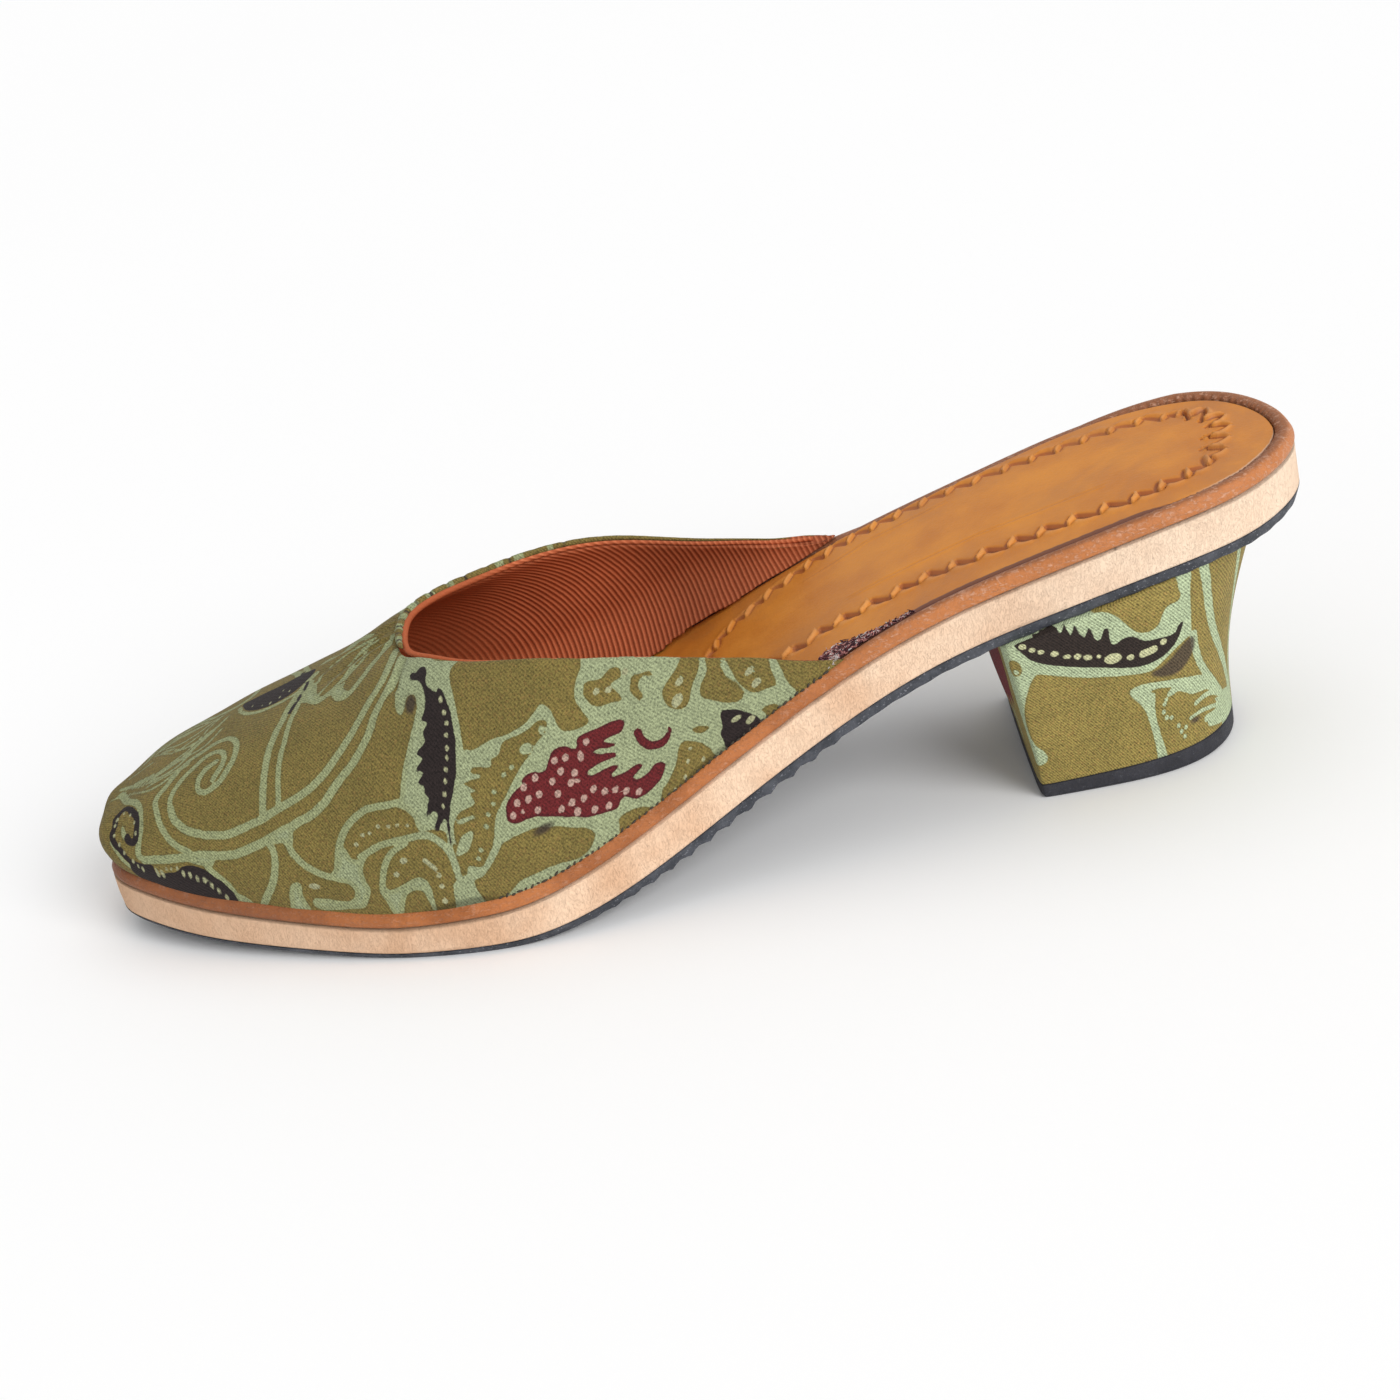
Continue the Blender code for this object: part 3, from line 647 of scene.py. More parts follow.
CRIMSON_AREAS = [
    "86.3,20 86.4,22 86.9,23.7 88,25 89.3,26 90.4,26.5 90.4,27.3 91,28 92,28.3 93,28.1 94,27.4 95,27.2"
    " 95.6,28 96.1,29.2 96.6,30.3 97.3,30.9 98.3,31.2 99.3,31 100.2,30.2 101.2,29.1 101.8,29.2 101.9,30.2"
    " 102.3,31.5 104.9,31.9 107.3,31.6 109.8,31.2 111,30.4 111.5,29.3 111,27.7 110.2,27 108.9,27.4"
    " 107.3,27.6 106.9,27.1 107.8,26.2 109.1,24.7 108.7,24.4 107.3,24.9 106,25.9 104.6,25.9 105.8,24.5"
    " 107.3,23.6 108.5,22.7 108.9,21.8 108.4,21.2 107.3,21.6 104.6,21.9 103.1,21.5 103.1,20.2 104.3,19.8"
    " 107.3,19.5 108.7,18.7 108.7,17.8 107.9,17.5 107.2,17.1 107.2,16.5 108.2,16 109.8,15.5 112.2,15.4"
    " 113.2,14.6 113.2,13.7 112.5,13.3 111.3,12.8 111.4,11.8 112.8,11 114.2,11 115.4,11.8 116.6,11.3"
    " 117.5,9.9 117.5,8.7 116.9,7.4 116.1,6.3 114.6,5.7 112.8,5.5 111,6 109.8,7.8 108.5,9.3 107.2,7.5"
    " 106.1,7.7 103.1,9.3 101.2,10.2 100.3,11 99,12.2 97.8,13 96.3,14.3 94.5,15.6 93,16.7 91.5,17.5"
    " 90,17.8 88.5,17.7 87.3,18.1 86.5,19",
    "113.5,25.5 114.2,24.8 114.5,23 115.2,20.2 116.4,18.4 117.9,17.5 119,18 119.5,19.3 119.9,18.4"
    " 119.8,16.6 118.8,15.1 117.9,14.8 116.4,15.7 114.6,17.8 113.4,20.8 112.8,23.9 112.9,25.1",
]
print(len(OLIVE_ISLANDS), "islands,", len(DARK_AREAS), "dark and", len(CRIMSON_AREAS), "crimson shapes")

# %% [markdown]
# ## Dots, and the order of the print
# Wax is dotted on with the tip of the tool, so dots of one size are listed together. The print is then put in
# order, because an island has to be taken out of the leaves before a vine is drawn across it.

# %% Dots
MINT_SPOTS = [
    Spots(1.2, 1.0, "92.3,34.2"), Spots(0.6, 0.9, "95.8,37"),
    Spots(0.4, 0.8, "123.5,29.3"), Spots(0.4, 0.8, "137.1,17.8 137.9,12.9"),
    Spots(0.5, 0.5, "82.9,22 82.1,19 80.3,12.7 79.5,10.3 84.3,24.4 84.8,27.2 87.3,30.3 89,31.3"),
]
PALE_SPOTS = [
    Spots(0.45, 0.45, "57.8,23.7 59.3,24 61.2,25.5 63.2,25 65,24.7 67,23.8 56.2,21.3 122.8,7.2 121.9,4.2"
          " 120.7,1.2 124.8,1.5 118.4,0.6"),
    Spots(0.7, 0.7, "107.3,40.6 109.6,39.4 113.3,41.6"), Spots(0.9, 0.75, "123,29 136.4,18.2"),
    Spots(1.0, 0.8, "137.4,13.2"), Spots(1.2, 1.2, "122,24.4"),
    Spots(1.2, 0.6, "46,8.8"), Spots(0.8, 0.6, "65,15.2"),
    Spots(0.6, 0.6, "63,11.9 71.2,8 71.3,5 71.2,1.5"),
    Spots(0.4, 0.6, "77.8,48 78,45 77.6,41.8 77.4,38.5 77,36.1 76.5,33.5 76,30.7 75.4,27.8 74.7,25"),
    Spots(0.4, 0.8, "77.4,51.7"),
    Spots(0.3, 0.55, "35.5,95 37.5,91.5 39.5,90 41.5,91.5 43.5,93 45.5,96 37,98 39.5,95 42,96.5 44,99"),
    Spots(0.3, 0.45, "17.5,14 18.2,12.9 19.1,14 19.8,14 20.6,14.2 14.2,19 14.8,16.3 15.4,14.5"
          " 12.4,50 11.6,46.5 11.5,42.5 11.6,36 12.4,29.5 13.1,24.3 14.5,40.5 14.9,34 13.6,46.5"),
    Spots(0.4, 0.7, "17.6,12.5 18.4,12 21.3,11.8 22.1,11 22.9,9.3 23.7,8.6 24.7,6.8 25.9,5 27.1,2.4"),
    Spots(0.95, 0.6, "132.4,6.3 135,3.2"),
]
PALE_STROKES = [Stroke(0.8, "69,13.5 71,9.8")]
PINK_SPOTS = [
    Spots(0.66, 0.78, "87.6,20 88.8,22.7 90.6,25.7 91,22.4 92.4,18.7 93,26.6 93.2,22.3 96.1,23.7 96.7,20.1"
          " 96.8,15.9 97.2,28.4 98,25.1 99,16.1 99.4,27.9 99.5,21 100.5,23 101.3,15.4 102.9,11.1"
          " 103.4,16.3 103.7,29.5 105.4,14 105.6,9.6 107.4,12.6 109.4,10.3 111.7,7.6"),
    Spots(0.45, 0.5, "89.5,20 101,20.5"), Spots(0.7, 0.9, "99.7,13"), Spots(0.6, 1.1, "102.2,26.5"),
]
SMUDGES = [Spots(1.9, 0.85, "92.7,13.6"), Spots(1.1, 2.0, "71.2,54.2")]
UPPER_PRINT = [
    ("mint", Cloth.area, MINT_AREAS), ("mint", Cloth.cut, OLIVE_ISLANDS), ("mint", Cloth.area, MINT_PATCHES),
    ("mint", Cloth.stroke, MINT_STROKES), ("mint", Cloth.spots, MINT_SPOTS),
    ("dark", Cloth.area, DARK_AREAS), ("dark", Cloth.stroke, DARK_STROKES),
    ("crimson", Cloth.area, CRIMSON_AREAS), ("pale", Cloth.stroke, PALE_STROKES),
    ("pale", Cloth.spots, PALE_SPOTS), ("pink", Cloth.spots, PINK_SPOTS), ("dusk", Cloth.spots, SMUDGES),
]
print(sum(len(shapes) for _, _, shapes in UPPER_PRINT), "motifs charted")

# %% [markdown]
# ## The chart of the upper
# The chart's axis runs along the foot, half way between the two sides and at the level of the cloth's foot,
# read off the CAD upper itself at every millimetre. In front of the apex the toe closes like the end of an
# egg, so there the station follows the slope of the toe instead of the distance along the sole.

# %% Chart of the upper
TOE_END = -125.0  # x of station 0
APEX = 24.0
SLICE = 2.5  # how far from a mark the upper's corners still count as its slice
SLICE_SPREAD = 3.0
AXIS_SPREAD = 4.0
LEAST_RADIUS = 2.0


def eased(values, spread):
    """A row of values smoothed with a bell of this spread."""
    reach = int(4 * spread)
    bell = np.exp(-0.5 * (np.arange(-reach, reach + 1) / spread) ** 2)
    padded = np.concatenate([values[:reach][::-1], values, values[-reach:][::-1]])
    return np.convolve(padded, bell / bell.sum(), "valid")


upper_copy = merged("upper")
foot_crease = upper_copy.edges.layers.float.new("crease_edge")
upper_corners = np.array([corner.co for corner in upper_copy.verts]) / MM
slices = np.arange(0.5, 158.0, 1.0)
in_slice = [upper_corners[np.abs(upper_corners[:, 0] - TOE_END - at) < SLICE] for at in slices]
ground_line = eased(np.array([corners[:, 2].min() for corners in in_slice]), SLICE_SPREAD)
middles = np.array([(corners[:, 1].min() + corners[:, 1].max()) / 2 for corners in in_slice])
axis_line = eased(middles, AXIS_SPREAD)


def chart(places):
    """Station, turn in degrees, and the size in mm of one unit of each."""
    station = places[:, 0] - TOE_END
    held = np.maximum(station, APEX)
    across = places[:, 1] - np.interp(held, slices, axis_line)
    above = places[:, 2] - np.interp(held, slices, ground_line)
    ahead = APEX - station
    radius = np.hypot(across, above)
    slope = np.arctan2(ahead, radius)
    capped = APEX * (1 - slope / (math.pi / 2))
    in_toe = station < APEX
    unit = np.where(in_toe, np.hypot(ahead, radius) * (math.pi / 2) / APEX, 1.0)
    turn = np.degrees(np.arctan2(above, -across))
    return np.where(in_toe, capped, station), turn, unit, np.maximum(radius, LEAST_RADIUS) * math.pi / 180


print("axis of the upper drifts", round(float(np.ptp(axis_line)), 1), "mm sideways")

# %% [markdown]
# ## The upper's shell
# The CAD upper is one shell 2 mm thick: an outer skin, a rim and a lining. Flooding from the tip of the toe
# until the faces turn sharply finds the outer skin. Everything is rounded twice, and the outer skin is cut
# once more, because it carries the print.

# %% Sort the shell's faces and refine them
SKIN_ANGLE = math.radians(50)
SKIN, RIM, LINING = 0, 1, 2
INSIDE = Vector((-60.0, 0.0, 40.0)) * MM  # a place just over the lining's middle
FOOT_TURN, FOOT_END = 5.0, 150.0  # degrees over the foot, and the station, where the lower rim ends


def flood(start, angle):
    """Faces that join the first one without a turn as sharp as this."""
    found, waiting = {start}, [start]
    while waiting:
        for edge in waiting.pop().edges:
            if edge.is_manifold and edge.calc_face_angle() < angle:
                new = [face for face in edge.link_faces if face not in found]
                found.update(new)
                waiting.extend(new)
    return found


upper_copy.faces.ensure_lookup_table()
tip_face = min(upper_copy.faces, key=lambda face: face.calc_center_median().x)
skin_faces = flood(tip_face, SKIN_ANGLE)
others = [face for face in upper_copy.faces if face not in skin_faces]
deep_face = min(others, key=lambda face: (face.calc_center_median() - INSIDE).length)
lining_faces = flood(deep_face, SKIN_ANGLE)
for face in upper_copy.faces:
    face.material_index = SKIN if face in skin_faces else LINING if face in lining_faces else RIM
collar_line, foot_line = [], []
for edge in upper_copy.edges:
    kinds = {face.material_index for face in edge.link_faces}
    if len(kinds) == 1 or RIM not in kinds:
        continue
    middle = (edge.verts[0].co + edge.verts[1].co) / 2 / MM
    station, turn, _, _ = (float(value[0]) for value in chart(np.array([middle])))
    if min(turn, 180 - turn) < FOOT_TURN and station < FOOT_END:
        edge[foot_crease] = 1.0
    if SKIN in kinds:
        line = foot_line if edge[foot_crease] else collar_line
        line.append([np.array(corner.co) / MM for corner in edge.verts])
print(len(collar_line), "edges round the opening")
counts = [sum(face.material_index == kind for face in upper_copy.faces) for kind in (SKIN, RIM, LINING)]
print("faces of skin, rim and lining:", counts)
upper_mesh = rounded(upper_copy, 2)
split_faces(upper_mesh, lambda face: face.material_index == SKIN)
print("upper has", len(upper_mesh.polygons), "faces")

# %% [markdown]
# ## Printing the upper
# The drawing is laid over the inner side as it was charted. The real cloth was cut as a mirrored pair, so
# over the ridge the same drawing is used again from the other foot, a little shorter and shifted.

# %% Print the motifs on the upper
MIRROR_STRETCH, MIRROR_SHIFT, MIRROR_TURN = 0.94, 4.0, 104.0
WARP_SIZE = 0.62  # millimetres of cloth in one degree, for the weave

station, turn, station_size, turn_size = chart(points(upper_mesh))
cloth = Cloth(station, turn, station_size, turn_size)
other_side = Cloth(
    (station - MIRROR_SHIFT) / MIRROR_STRETCH, 180 - turn, station_size * MIRROR_STRETCH, turn_size
)
fields = printed(cloth, UPPER_PRINT + [("mint", Cloth.stroke, INNER_SCROLLS)])
mirrored = printed(other_side, UPPER_PRINT)
far_side = turn > MIRROR_TURN
for name in fields:
    near_part = np.where(far_side, FAR, fields[name])
    far_part = np.where(far_side, mirrored[name], FAR)
    carry(upper_mesh, name, np.minimum(near_part, far_part))
carry(upper_mesh, "weft", station)
carry(upper_mesh, "warp", turn * WARP_SIZE)
print("drawn on", len(station), "corners;", int((fields["mint"] < 0).sum()), "of them mint")

# %% [markdown]
# ## The dyed cotton
# Hand-dyed cotton is never flat in colour: the dye is cloudy, thick threads take more of it, and the wax
# cracks leave a faint line round each motif. The drawing's distances are roughened by a little noise first.

# %% Batik finish
OLIVE = (0.240, 0.184, 0.053)
OLIVE_DEEP = (0.198, 0.156, 0.045)
OLIVE_RUSSET = (0.270, 0.150, 0.052)
OLIVE_HALO = (0.155, 0.130, 0.040)
MINT = (0.355, 0.398, 0.226)
MINT_THIN = (0.330, 0.360, 0.184)
DARK_DYE = (0.028, 0.020, 0.019)
CRIMSON = (0.150, 0.020, 0.022)
CRIMSON_EDGE = (0.085, 0.014, 0.018)
PALE = (0.400, 0.400, 0.230)
PINK = (0.500, 0.330, 0.270)
SMUDGE_AND_SHADE_COLOUR = (0.056, 0.040, 0.030)
TWILL = 0.52  # millimetres between two lines of the weave
SOFT_EDGE = 0.11  # half of the blurred edge of a print, in millimetres


def batik(name, strength, twill_depth, mint_dye, thin_mint, dark_dye):
    """Printed cotton twill. Narrow mint lines have a colour of their own."""
    cotton = Finish(name, Roughness=0.85, Sheen_Weight=0.06, Sheen_Roughness=0.5, Specular_IOR_Level=0.15)
    warp, weft = cotton.attribute("warp"), cotton.attribute("weft")
    waver = (cotton.noise(1.4, 3.0, 0.6) - 0.5) * 0.42

    def dyed(field):
        return cotton.step(cotton.attribute(field) + waver, SOFT_EDGE, -SOFT_EDGE)

    cloud = cotton.noise(9.0, 4.0, 0.6)
    olive = cotton.mix(cotton.step(cloud, 0.3, 0.7), OLIVE_DEEP, OLIVE)
    olive = cotton.mix(cotton.step(cotton.noise(0.6, 2.0, 0.6), 0.50, 0.68) * 0.40, olive, OLIVE_RUSSET)
    # The wax cracks at the edge of a motif and lets a little more dye in round it.
    halo = cotton.step(cotton.attribute("mint") + waver, 0.6, 0.05)
    olive = cotton.mix(halo * 0.55, olive, OLIVE_HALO)
    behind_vamp = cotton.step(weft, 62.0, 76.0)
    inside = cotton.step(cotton.attribute("mint") + waver, -0.6, -1.4)
    mint = cotton.mix(inside + behind_vamp * (1 - inside), thin_mint, mint_dye)
    mint = cotton.tint(mint, 0.86 + cotton.noise(7.0, 4.0, 0.65) * 0.28)
    colour = cotton.mix(dyed("mint"), olive, mint)
    # Smudges of the print, and painted shade in the nips of the gathered roll, share this dark colour.
    colour = cotton.mix(cotton.step(cotton.attribute("dusk"), 0.5, -0.4) * 0.9, colour, SMUDGE_AND_SHADE_COLOUR)
    colour = cotton.mix(dyed("dark"), colour, dark_dye)
    rim = cotton.step(cotton.attribute("crimson"), -0.7, -0.1)
    colour = cotton.mix(dyed("crimson"), colour, cotton.mix(rim * 0.8, CRIMSON, CRIMSON_EDGE))
    colour = cotton.mix(dyed("pale"), colour, PALE)
    colour = cotton.mix(dyed("pink"), colour, PINK)
    # The weave: slanting lines, broken up by single threads that stand higher or took more dye.
    slant = (weft * 0.8 + warp * 0.6) * (1 / TWILL)
    line = cotton.math("SINE", (slant + cotton.noise(2.0) * 0.5) * (2 * math.pi)) * 0.5 + 0.5
    thread = cotton.noise(0.5, 2.0, 0.65, at=cotton.vector(slant * 0.5, (warp * 0.8 - weft * 0.6) * 1.6))
    thread = cotton.step(thread, 0.30, 0.70)
    fleck = cotton.step(cotton.noise(0.42, 2.0, 0.7), 0.34, 0.66)
    dust = cotton.noise(30.0, 3.0, 0.5)
    weave_dust_and_foot_shade = 0.44 - twill_depth * 0.5 + line * twill_depth + thread * 0.40 + fleck * 0.52 + dust * 0.10
    # Painted shade: the cloth is darker within a millimetre of its foot, where it goes in at the sole.
    weave_dust_and_foot_shade = weave_dust_and_foot_shade * (0.5 + 0.5 * cotton.step(cotton.attribute("foot"), 0.1, 0.9))
    cotton.show(Base_Color=cotton.tint(colour, weave_dust_and_foot_shade * strength), Roughness=0.8 + fleck * 0.15)
    cotton.bump(line * 0.5 + thread * 0.3 + fleck * 0.2, 0.12)
    return cotton


upper_batik = batik(
    "batik_upper", strength=0.86, twill_depth=0.24, mint_dye=MINT, thin_mint=MINT_THIN, dark_dye=DARK_DYE
)
print("batik finish made")

# %% [markdown]
# ## Pleats at the throat
# Where the collar turns round the throat the cloth is gathered, and narrow pleats run out over the vamp like
# a fan. Each is drawn on the chart like a motif, but its distance pushes the cloth in or out instead of
# colouring it. They fade some 20 mm from the throat. A dimple marks the corner where the near collar starts.

# %% Push the pleats into the skin
THROAT = (69.0, 88.0)
PLEAT_TROUGHS = [
    "67,87.4 60.2,78.9 57.2,74.5", "68.1,82.1 66,72.4 62.9,65.6", "64,96.3 55.2,99.2 49.9,93.9",
    "65.8,91 58.8,91.6 52,86", "69,78.6 67.2,70 63.4,60", "66,100 57,107 50,110", "68,104 62,114 56,122",
]
PLEAT_RIDGES = [
    "67.2,89.3 62.7,81.7 57.7,75.2 55.9,70", "65.6,87.5 58.6,86.4 52.7,81.1 48.2,76.4",
    "67.7,80.5 65.5,70.7 62,61.4", "69.2,77.6 67.7,68.1 64.2,58.8", "64.6,93.6 56,95.6 50.4,90.6",
    "65.4,97.8 56,103 50,102", "67,102 59,110 53,116",
]
DIMPLE = "70.4,74.6 69.6,71 69,68.9 68.4,66.4 67.8,63"
PLEAT_REACH, PLEAT_FADE = 22, 10
RIDGE_HEIGHT, TROUGH_DEPTH, PLEAT_WIDTH = 0.34, 0.42, 0.8
DIMPLE_DEPTH, DIMPLE_WIDTH = 0.9, 1.0
WAVINESS = 0.10
LEVEL_STATION = [68, 74, 88, 97, 106, 140, 146, 152]
LEVEL_RISE = [0.0, 0.6, 0.5, 0.0, -0.85, -0.7, -1.0, -1.5]
LEVEL_HEIGHT, LEVEL_FADE = 31, 9  # the shift starts at this height and is whole this much higher
LEVEL_SIDE, SIDE_FADE = -6, 6


def closeness(texts, wide):
    """1 on the drawn lines, fading to 0 over this many millimetres."""
    gap = cloth.blank()
    for text in texts:
        cloth.stroke(gap, Stroke(0.0, text))
    return np.exp(-((gap / wide) ** 2))


def kind_corners(mesh, kind):
    """1 for the corners of the faces that have this material number."""
    sides, numbers = column(mesh.polygons, "loop_total"), column(mesh.polygons, "material_index")
    found = np.zeros(len(mesh.vertices))
    found[column(mesh.loops, "vertex_index")[np.repeat(numbers, sides) == kind]] = 1.0
    return found


def levelled(places):
    """The near edge of the opening isn't quite level: it stands up behind the dimple, then sags."""
    rise = np.interp(places[:, 0] - TOE_END, LEVEL_STATION, LEVEL_RISE)
    near_edge = np.clip((places[:, 2] - LEVEL_HEIGHT) / LEVEL_FADE, 0, 1)
    near_edge = near_edge * np.clip((LEVEL_SIDE - places[:, 1]) / SIDE_FADE, 0, 1)
    shifted = places.copy()
    shifted[:, 2] += rise * near_edge
    return shifted


from_throat = np.hypot(station - THROAT[0], (turn - THROAT[1]) * turn_size)
fade = np.clip((PLEAT_REACH - from_throat) / PLEAT_FADE, 0, 1)
ridges, troughs = closeness(PLEAT_RIDGES, PLEAT_WIDTH), closeness(PLEAT_TROUGHS, PLEAT_WIDTH)
push = fade * (RIDGE_HEIGHT * ridges - TROUGH_DEPTH * troughs)
push -= DIMPLE_DEPTH * closeness([DIMPLE], DIMPLE_WIDTH)
push += WAVINESS * np.sin(station / 6.1 + turn / 17) * np.sin(station / 4.3 - turn / 11)
places = points(upper_mesh) + normals(upper_mesh) * (push * kind_corners(upper_mesh, SKIN))[:, None]
print("pleats are up to", round(float(push.max()), 2), "mm high and", round(float(-push.min()), 2), "mm deep")

# %% [markdown]
# ## The foot of the cloth
# The cloth is lasted: pulled down, turned in under the foot and covered by the rand. Its foot is tucked a
# little into the rand, the foot of the lining reaches in to the insole, and round the toe the whole foot
# reaches down into the bead, so that no light comes in under it.

# %% Tuck the foot in
TUCK, TUCK_HEIGHT = 1.0, 3
INNER_REACH = [30, 40, 140, 157], [0, 2.6, 2.6, 0.6]
OUTER_REACH = [30, 40, 90, 112, 125, 140, 150, 157], [0, 2.6, 6.5, 6.5, 5.0, 3.2, 1.4, 0.6]
REACH_HEIGHT = 13.0
TOE_REACH, TOE_REACH_HEIGHT = 1.1, 4.5

over_foot = np.minimum(turn, 180 - turn) * turn_size
places[:, 2] -= TUCK * np.clip(1 - over_foot / TUCK_HEIGHT, 0, 1) * np.clip((station - 30) / 10, 0, 1)
inner_reach, outer_reach = np.interp(station, *INNER_REACH), np.interp(station, *OUTER_REACH)
lean_in = kind_corners(upper_mesh, LINING) * np.clip(1 - over_foot / REACH_HEIGHT, 0, 1) ** 1.7
places[:, 1] += np.where(turn < 90, inner_reach, -outer_reach) * lean_in
foot = np.array([end for piece in foot_line for end in piece])
foot = foot[np.argsort(foot[:, 0])]
above_foot = places[:, 2] - np.interp(places[:, 0], foot[:, 0], foot[:, 2])
at_toe = np.clip((35 - station) / 10, 0, 1)
places[:, 2] -= TOE_REACH * at_toe * np.clip(1 - above_foot / TOE_REACH_HEIGHT, 0, 1)
move(upper_mesh, levelled(places))
carry(upper_mesh, "foot", over_foot)
print("the lining reaches in by up to", round(float(outer_reach.max()), 1), "mm")

# %% [markdown]
# ## Lining
# The upper is lined with ribbed cotton. The ribs run up the wall and lean over towards the throat, where the
# cloth is stretched smooth. Rib numbers are worked out once a corner, so that the finish needs only a sine.
# The tables below are read at a corner's x: the slope of a rib at RIB_LEVEL, how much more it slopes a
# millimetre higher, in thousandths, and how much painted light or shade the cloth is given there.

# %% Ribbed lining finish
LINING_TROUGH_SHADE = (0.300, 0.068, 0.026)
LINING_CREST_HIGHLIGHT = (0.620, 0.215, 0.112)
LINING_MID = (0.440, 0.115, 0.042)
RIB_PITCH, WIDE_PITCH, WIDE_X = 1.12, 1.55, -60.0
RIB_LEVEL = 35.0
SMOOTH_REACH, SMOOTH_FADE, SMOOTH_ACROSS = 26, 16, 0.45
LEAN_X = [-60, -42, -32, -26, -21, -15, -10, -5, 0, 7, 20]
LEAN = [0.82, 0.70, 0.61, 0.51, 0.43, 0.37, 0.31, 0.25, 0.22, 0.22, 0.30]
BEND = [22, 22, 18, 16.5, 15, 12, 10, 8, 7, 5, 3]
LIGHT_ALONG_SIDE_X = [-56, -46, -40, -34, -26, -17, -9, -2, 6, 14, 24]
LIGHT_ALONG_SIDE = [0.82, 0.88, 0.97, 1.12, 1.24, 1.24, 1.08, 0.90, 0.83, 0.85, 0.92]


def rib_number(places):
    """Ribs lean over towards the throat, bend over more the higher they run, and lie wider apart there."""
    lean, bend = np.interp(places[:, 0], LEAN_X, LEAN), np.interp(places[:, 0], LEAN_X, BEND) / 1000
    height = places[:, 2] - RIB_LEVEL
    marks = np.arange(-120.0, 90.0)
    count = np.cumsum(1 / np.interp(marks, [WIDE_X, 0], [WIDE_PITCH, RIB_PITCH]))
    return np.interp(places[:, 0] + lean * height + bend * height**2, marks, count)


def smoothness(places):
    """1 round the throat, where the ribs are stretched flat, and 0 further behind it."""
    gap = np.hypot(places[:, 0] - TOE_END - THROAT[0], places[:, 1] * SMOOTH_ACROSS)
    return np.clip((SMOOTH_REACH - gap) / SMOOTH_FADE, 0, 1)


def freshness(places):
    """Painted light and shade: the lining is brightest halfway along the side and darker by the throat and
    towards the heel.
    """
    return np.interp(places[:, 0], LIGHT_ALONG_SIDE_X, LIGHT_ALONG_SIDE)


def ribbed(name, lightness):
    """Ribbed cotton, from the rib, plain and fresh numbers a piece carries, with painted shade and highlight.
    """
    twill = Finish(name, Roughness=0.75, Specular_IOR_Level=0.2)
    plain = twill.attribute("plain")
    rib = twill.attribute("rib") + (twill.noise(6.0) - 0.5) * 0.5
    wave = twill.math("SINE", rib * (2 * math.pi)) * 0.5 + 0.5
    wave = wave + (0.5 - wave) * (plain * 0.9)
    thread = twill.noise(0.45, 2.0, 0.65)
    # Painted shade in the troughs of the ribs and a painted highlight on their crests.
    colour = twill.mix(wave, LINING_TROUGH_SHADE, LINING_MID)
    colour = twill.mix(twill.step(wave, 0.55, 1.0) * 0.40, colour, LINING_CREST_HIGHLIGHT)
    shade = 0.60 + twill.noise(11.0, 3.0) * 0.37 + thread * 0.50
    # The colour is scaled by painted light and shade along the side.
    twill.show(Base_Color=twill.tint(colour, shade * twill.attribute("fresh") * lightness))
    twill.bump(wave * 0.8 + thread * 0.2, 0.22)
    return twill


lining = ribbed("lining_ribs", 1.0)
print("ribs are", RIB_PITCH, "to", WIDE_PITCH, "mm apart")

# %% [markdown]
# ## Which cloth goes where
# The batik is folded over the rim and the lining starts a little way inside it, so the rim's faces are dealt
# out by their distance from the outer edge of the opening. A rim face far from it is under the foot.

# %% Deal out the rim and show the upper
REAR_X = 29.0  # where the top edges start to turn down to the sole
NEAR_FOLD, FAR_FOLD, REAR_FOLD = 2.0, 1.5, 0.3
UNDER_FOOT = 5
places = points(upper_mesh)
carry(upper_mesh, "rib", rib_number(places))
carry(upper_mesh, "plain", smoothness(places))
carry(upper_mesh, "fresh", freshness(places))
numbers = column(upper_mesh.polygons, "material_index")
opening = KDTree(len(collar_line))
for index, (start, end) in enumerate(collar_line):
    opening.insert((start + end) / 2, index)
opening.balance()
for face in upper_mesh.polygons:
    if numbers[face.index] == RIM:
        middle = face.center / MM
        fold = NEAR_FOLD if middle.y < 0 else FAR_FOLD if middle.x < REAR_X - 10 else REAR_FOLD
        from_edge = opening.find(middle)[2]
        numbers[face.index] = SKIN if from_edge < fold or from_edge > UNDER_FOOT else LINING
upper_mesh.polygons.foreach_set("material_index", np.where(numbers == LINING, 1, 0).astype(np.int32))
show(upper_mesh, "upper_cloth", [upper_batik, lining], "upper", "upper")

# %% [markdown]
# ## Rolled edges
# The lining is folded over into a soft edge all round the opening. On the outer side and round the throat the
# batik is rolled over a cord and gathered with small stitches, which nip it every few millimetres. Both are
# tubes: a flat grid whose rows are laid round a line as rings, with the long sides welded.


# %% Tubes along a line
def chained(pieces):
    """Short lines, each of two ends, joined into one line that starts on the inner side."""
    links = {}
    for start, end in pieces:
        start, end = tuple(np.round(start, 3)), tuple(np.round(end, 3))
        links.setdefault(start, []).append(end)
        links.setdefault(end, []).append(start)
    here = min((place for place in links if len(links[place]) == 1), key=lambda place: place[1])
    line, seen = [here], {here}
    while True:
        onward = [place for place in links[line[-1]] if place not in seen]
        if not onward:
            return np.array(line)
        line.append(onward[0])
        seen.add(onward[0])


def resampled(line, gap, spread):
    """The same line with its points this far apart, eased over a number of them, and each point's length."""
    lengths = np.concatenate([[0], np.cumsum(np.linalg.norm(np.diff(line, axis=0), axis=1))])
    marks = np.arange(0, lengths[-1], gap)
    even = np.stack([np.interp(marks, lengths, line[:, axis]) for axis in range(3)], 1)
    start, end = even[0].copy(), even[-1].copy()
    even = np.stack([eased(even[:, axis], spread) for axis in range(3)], 1)
    even[0], even[-1] = start, end
    return even, marks


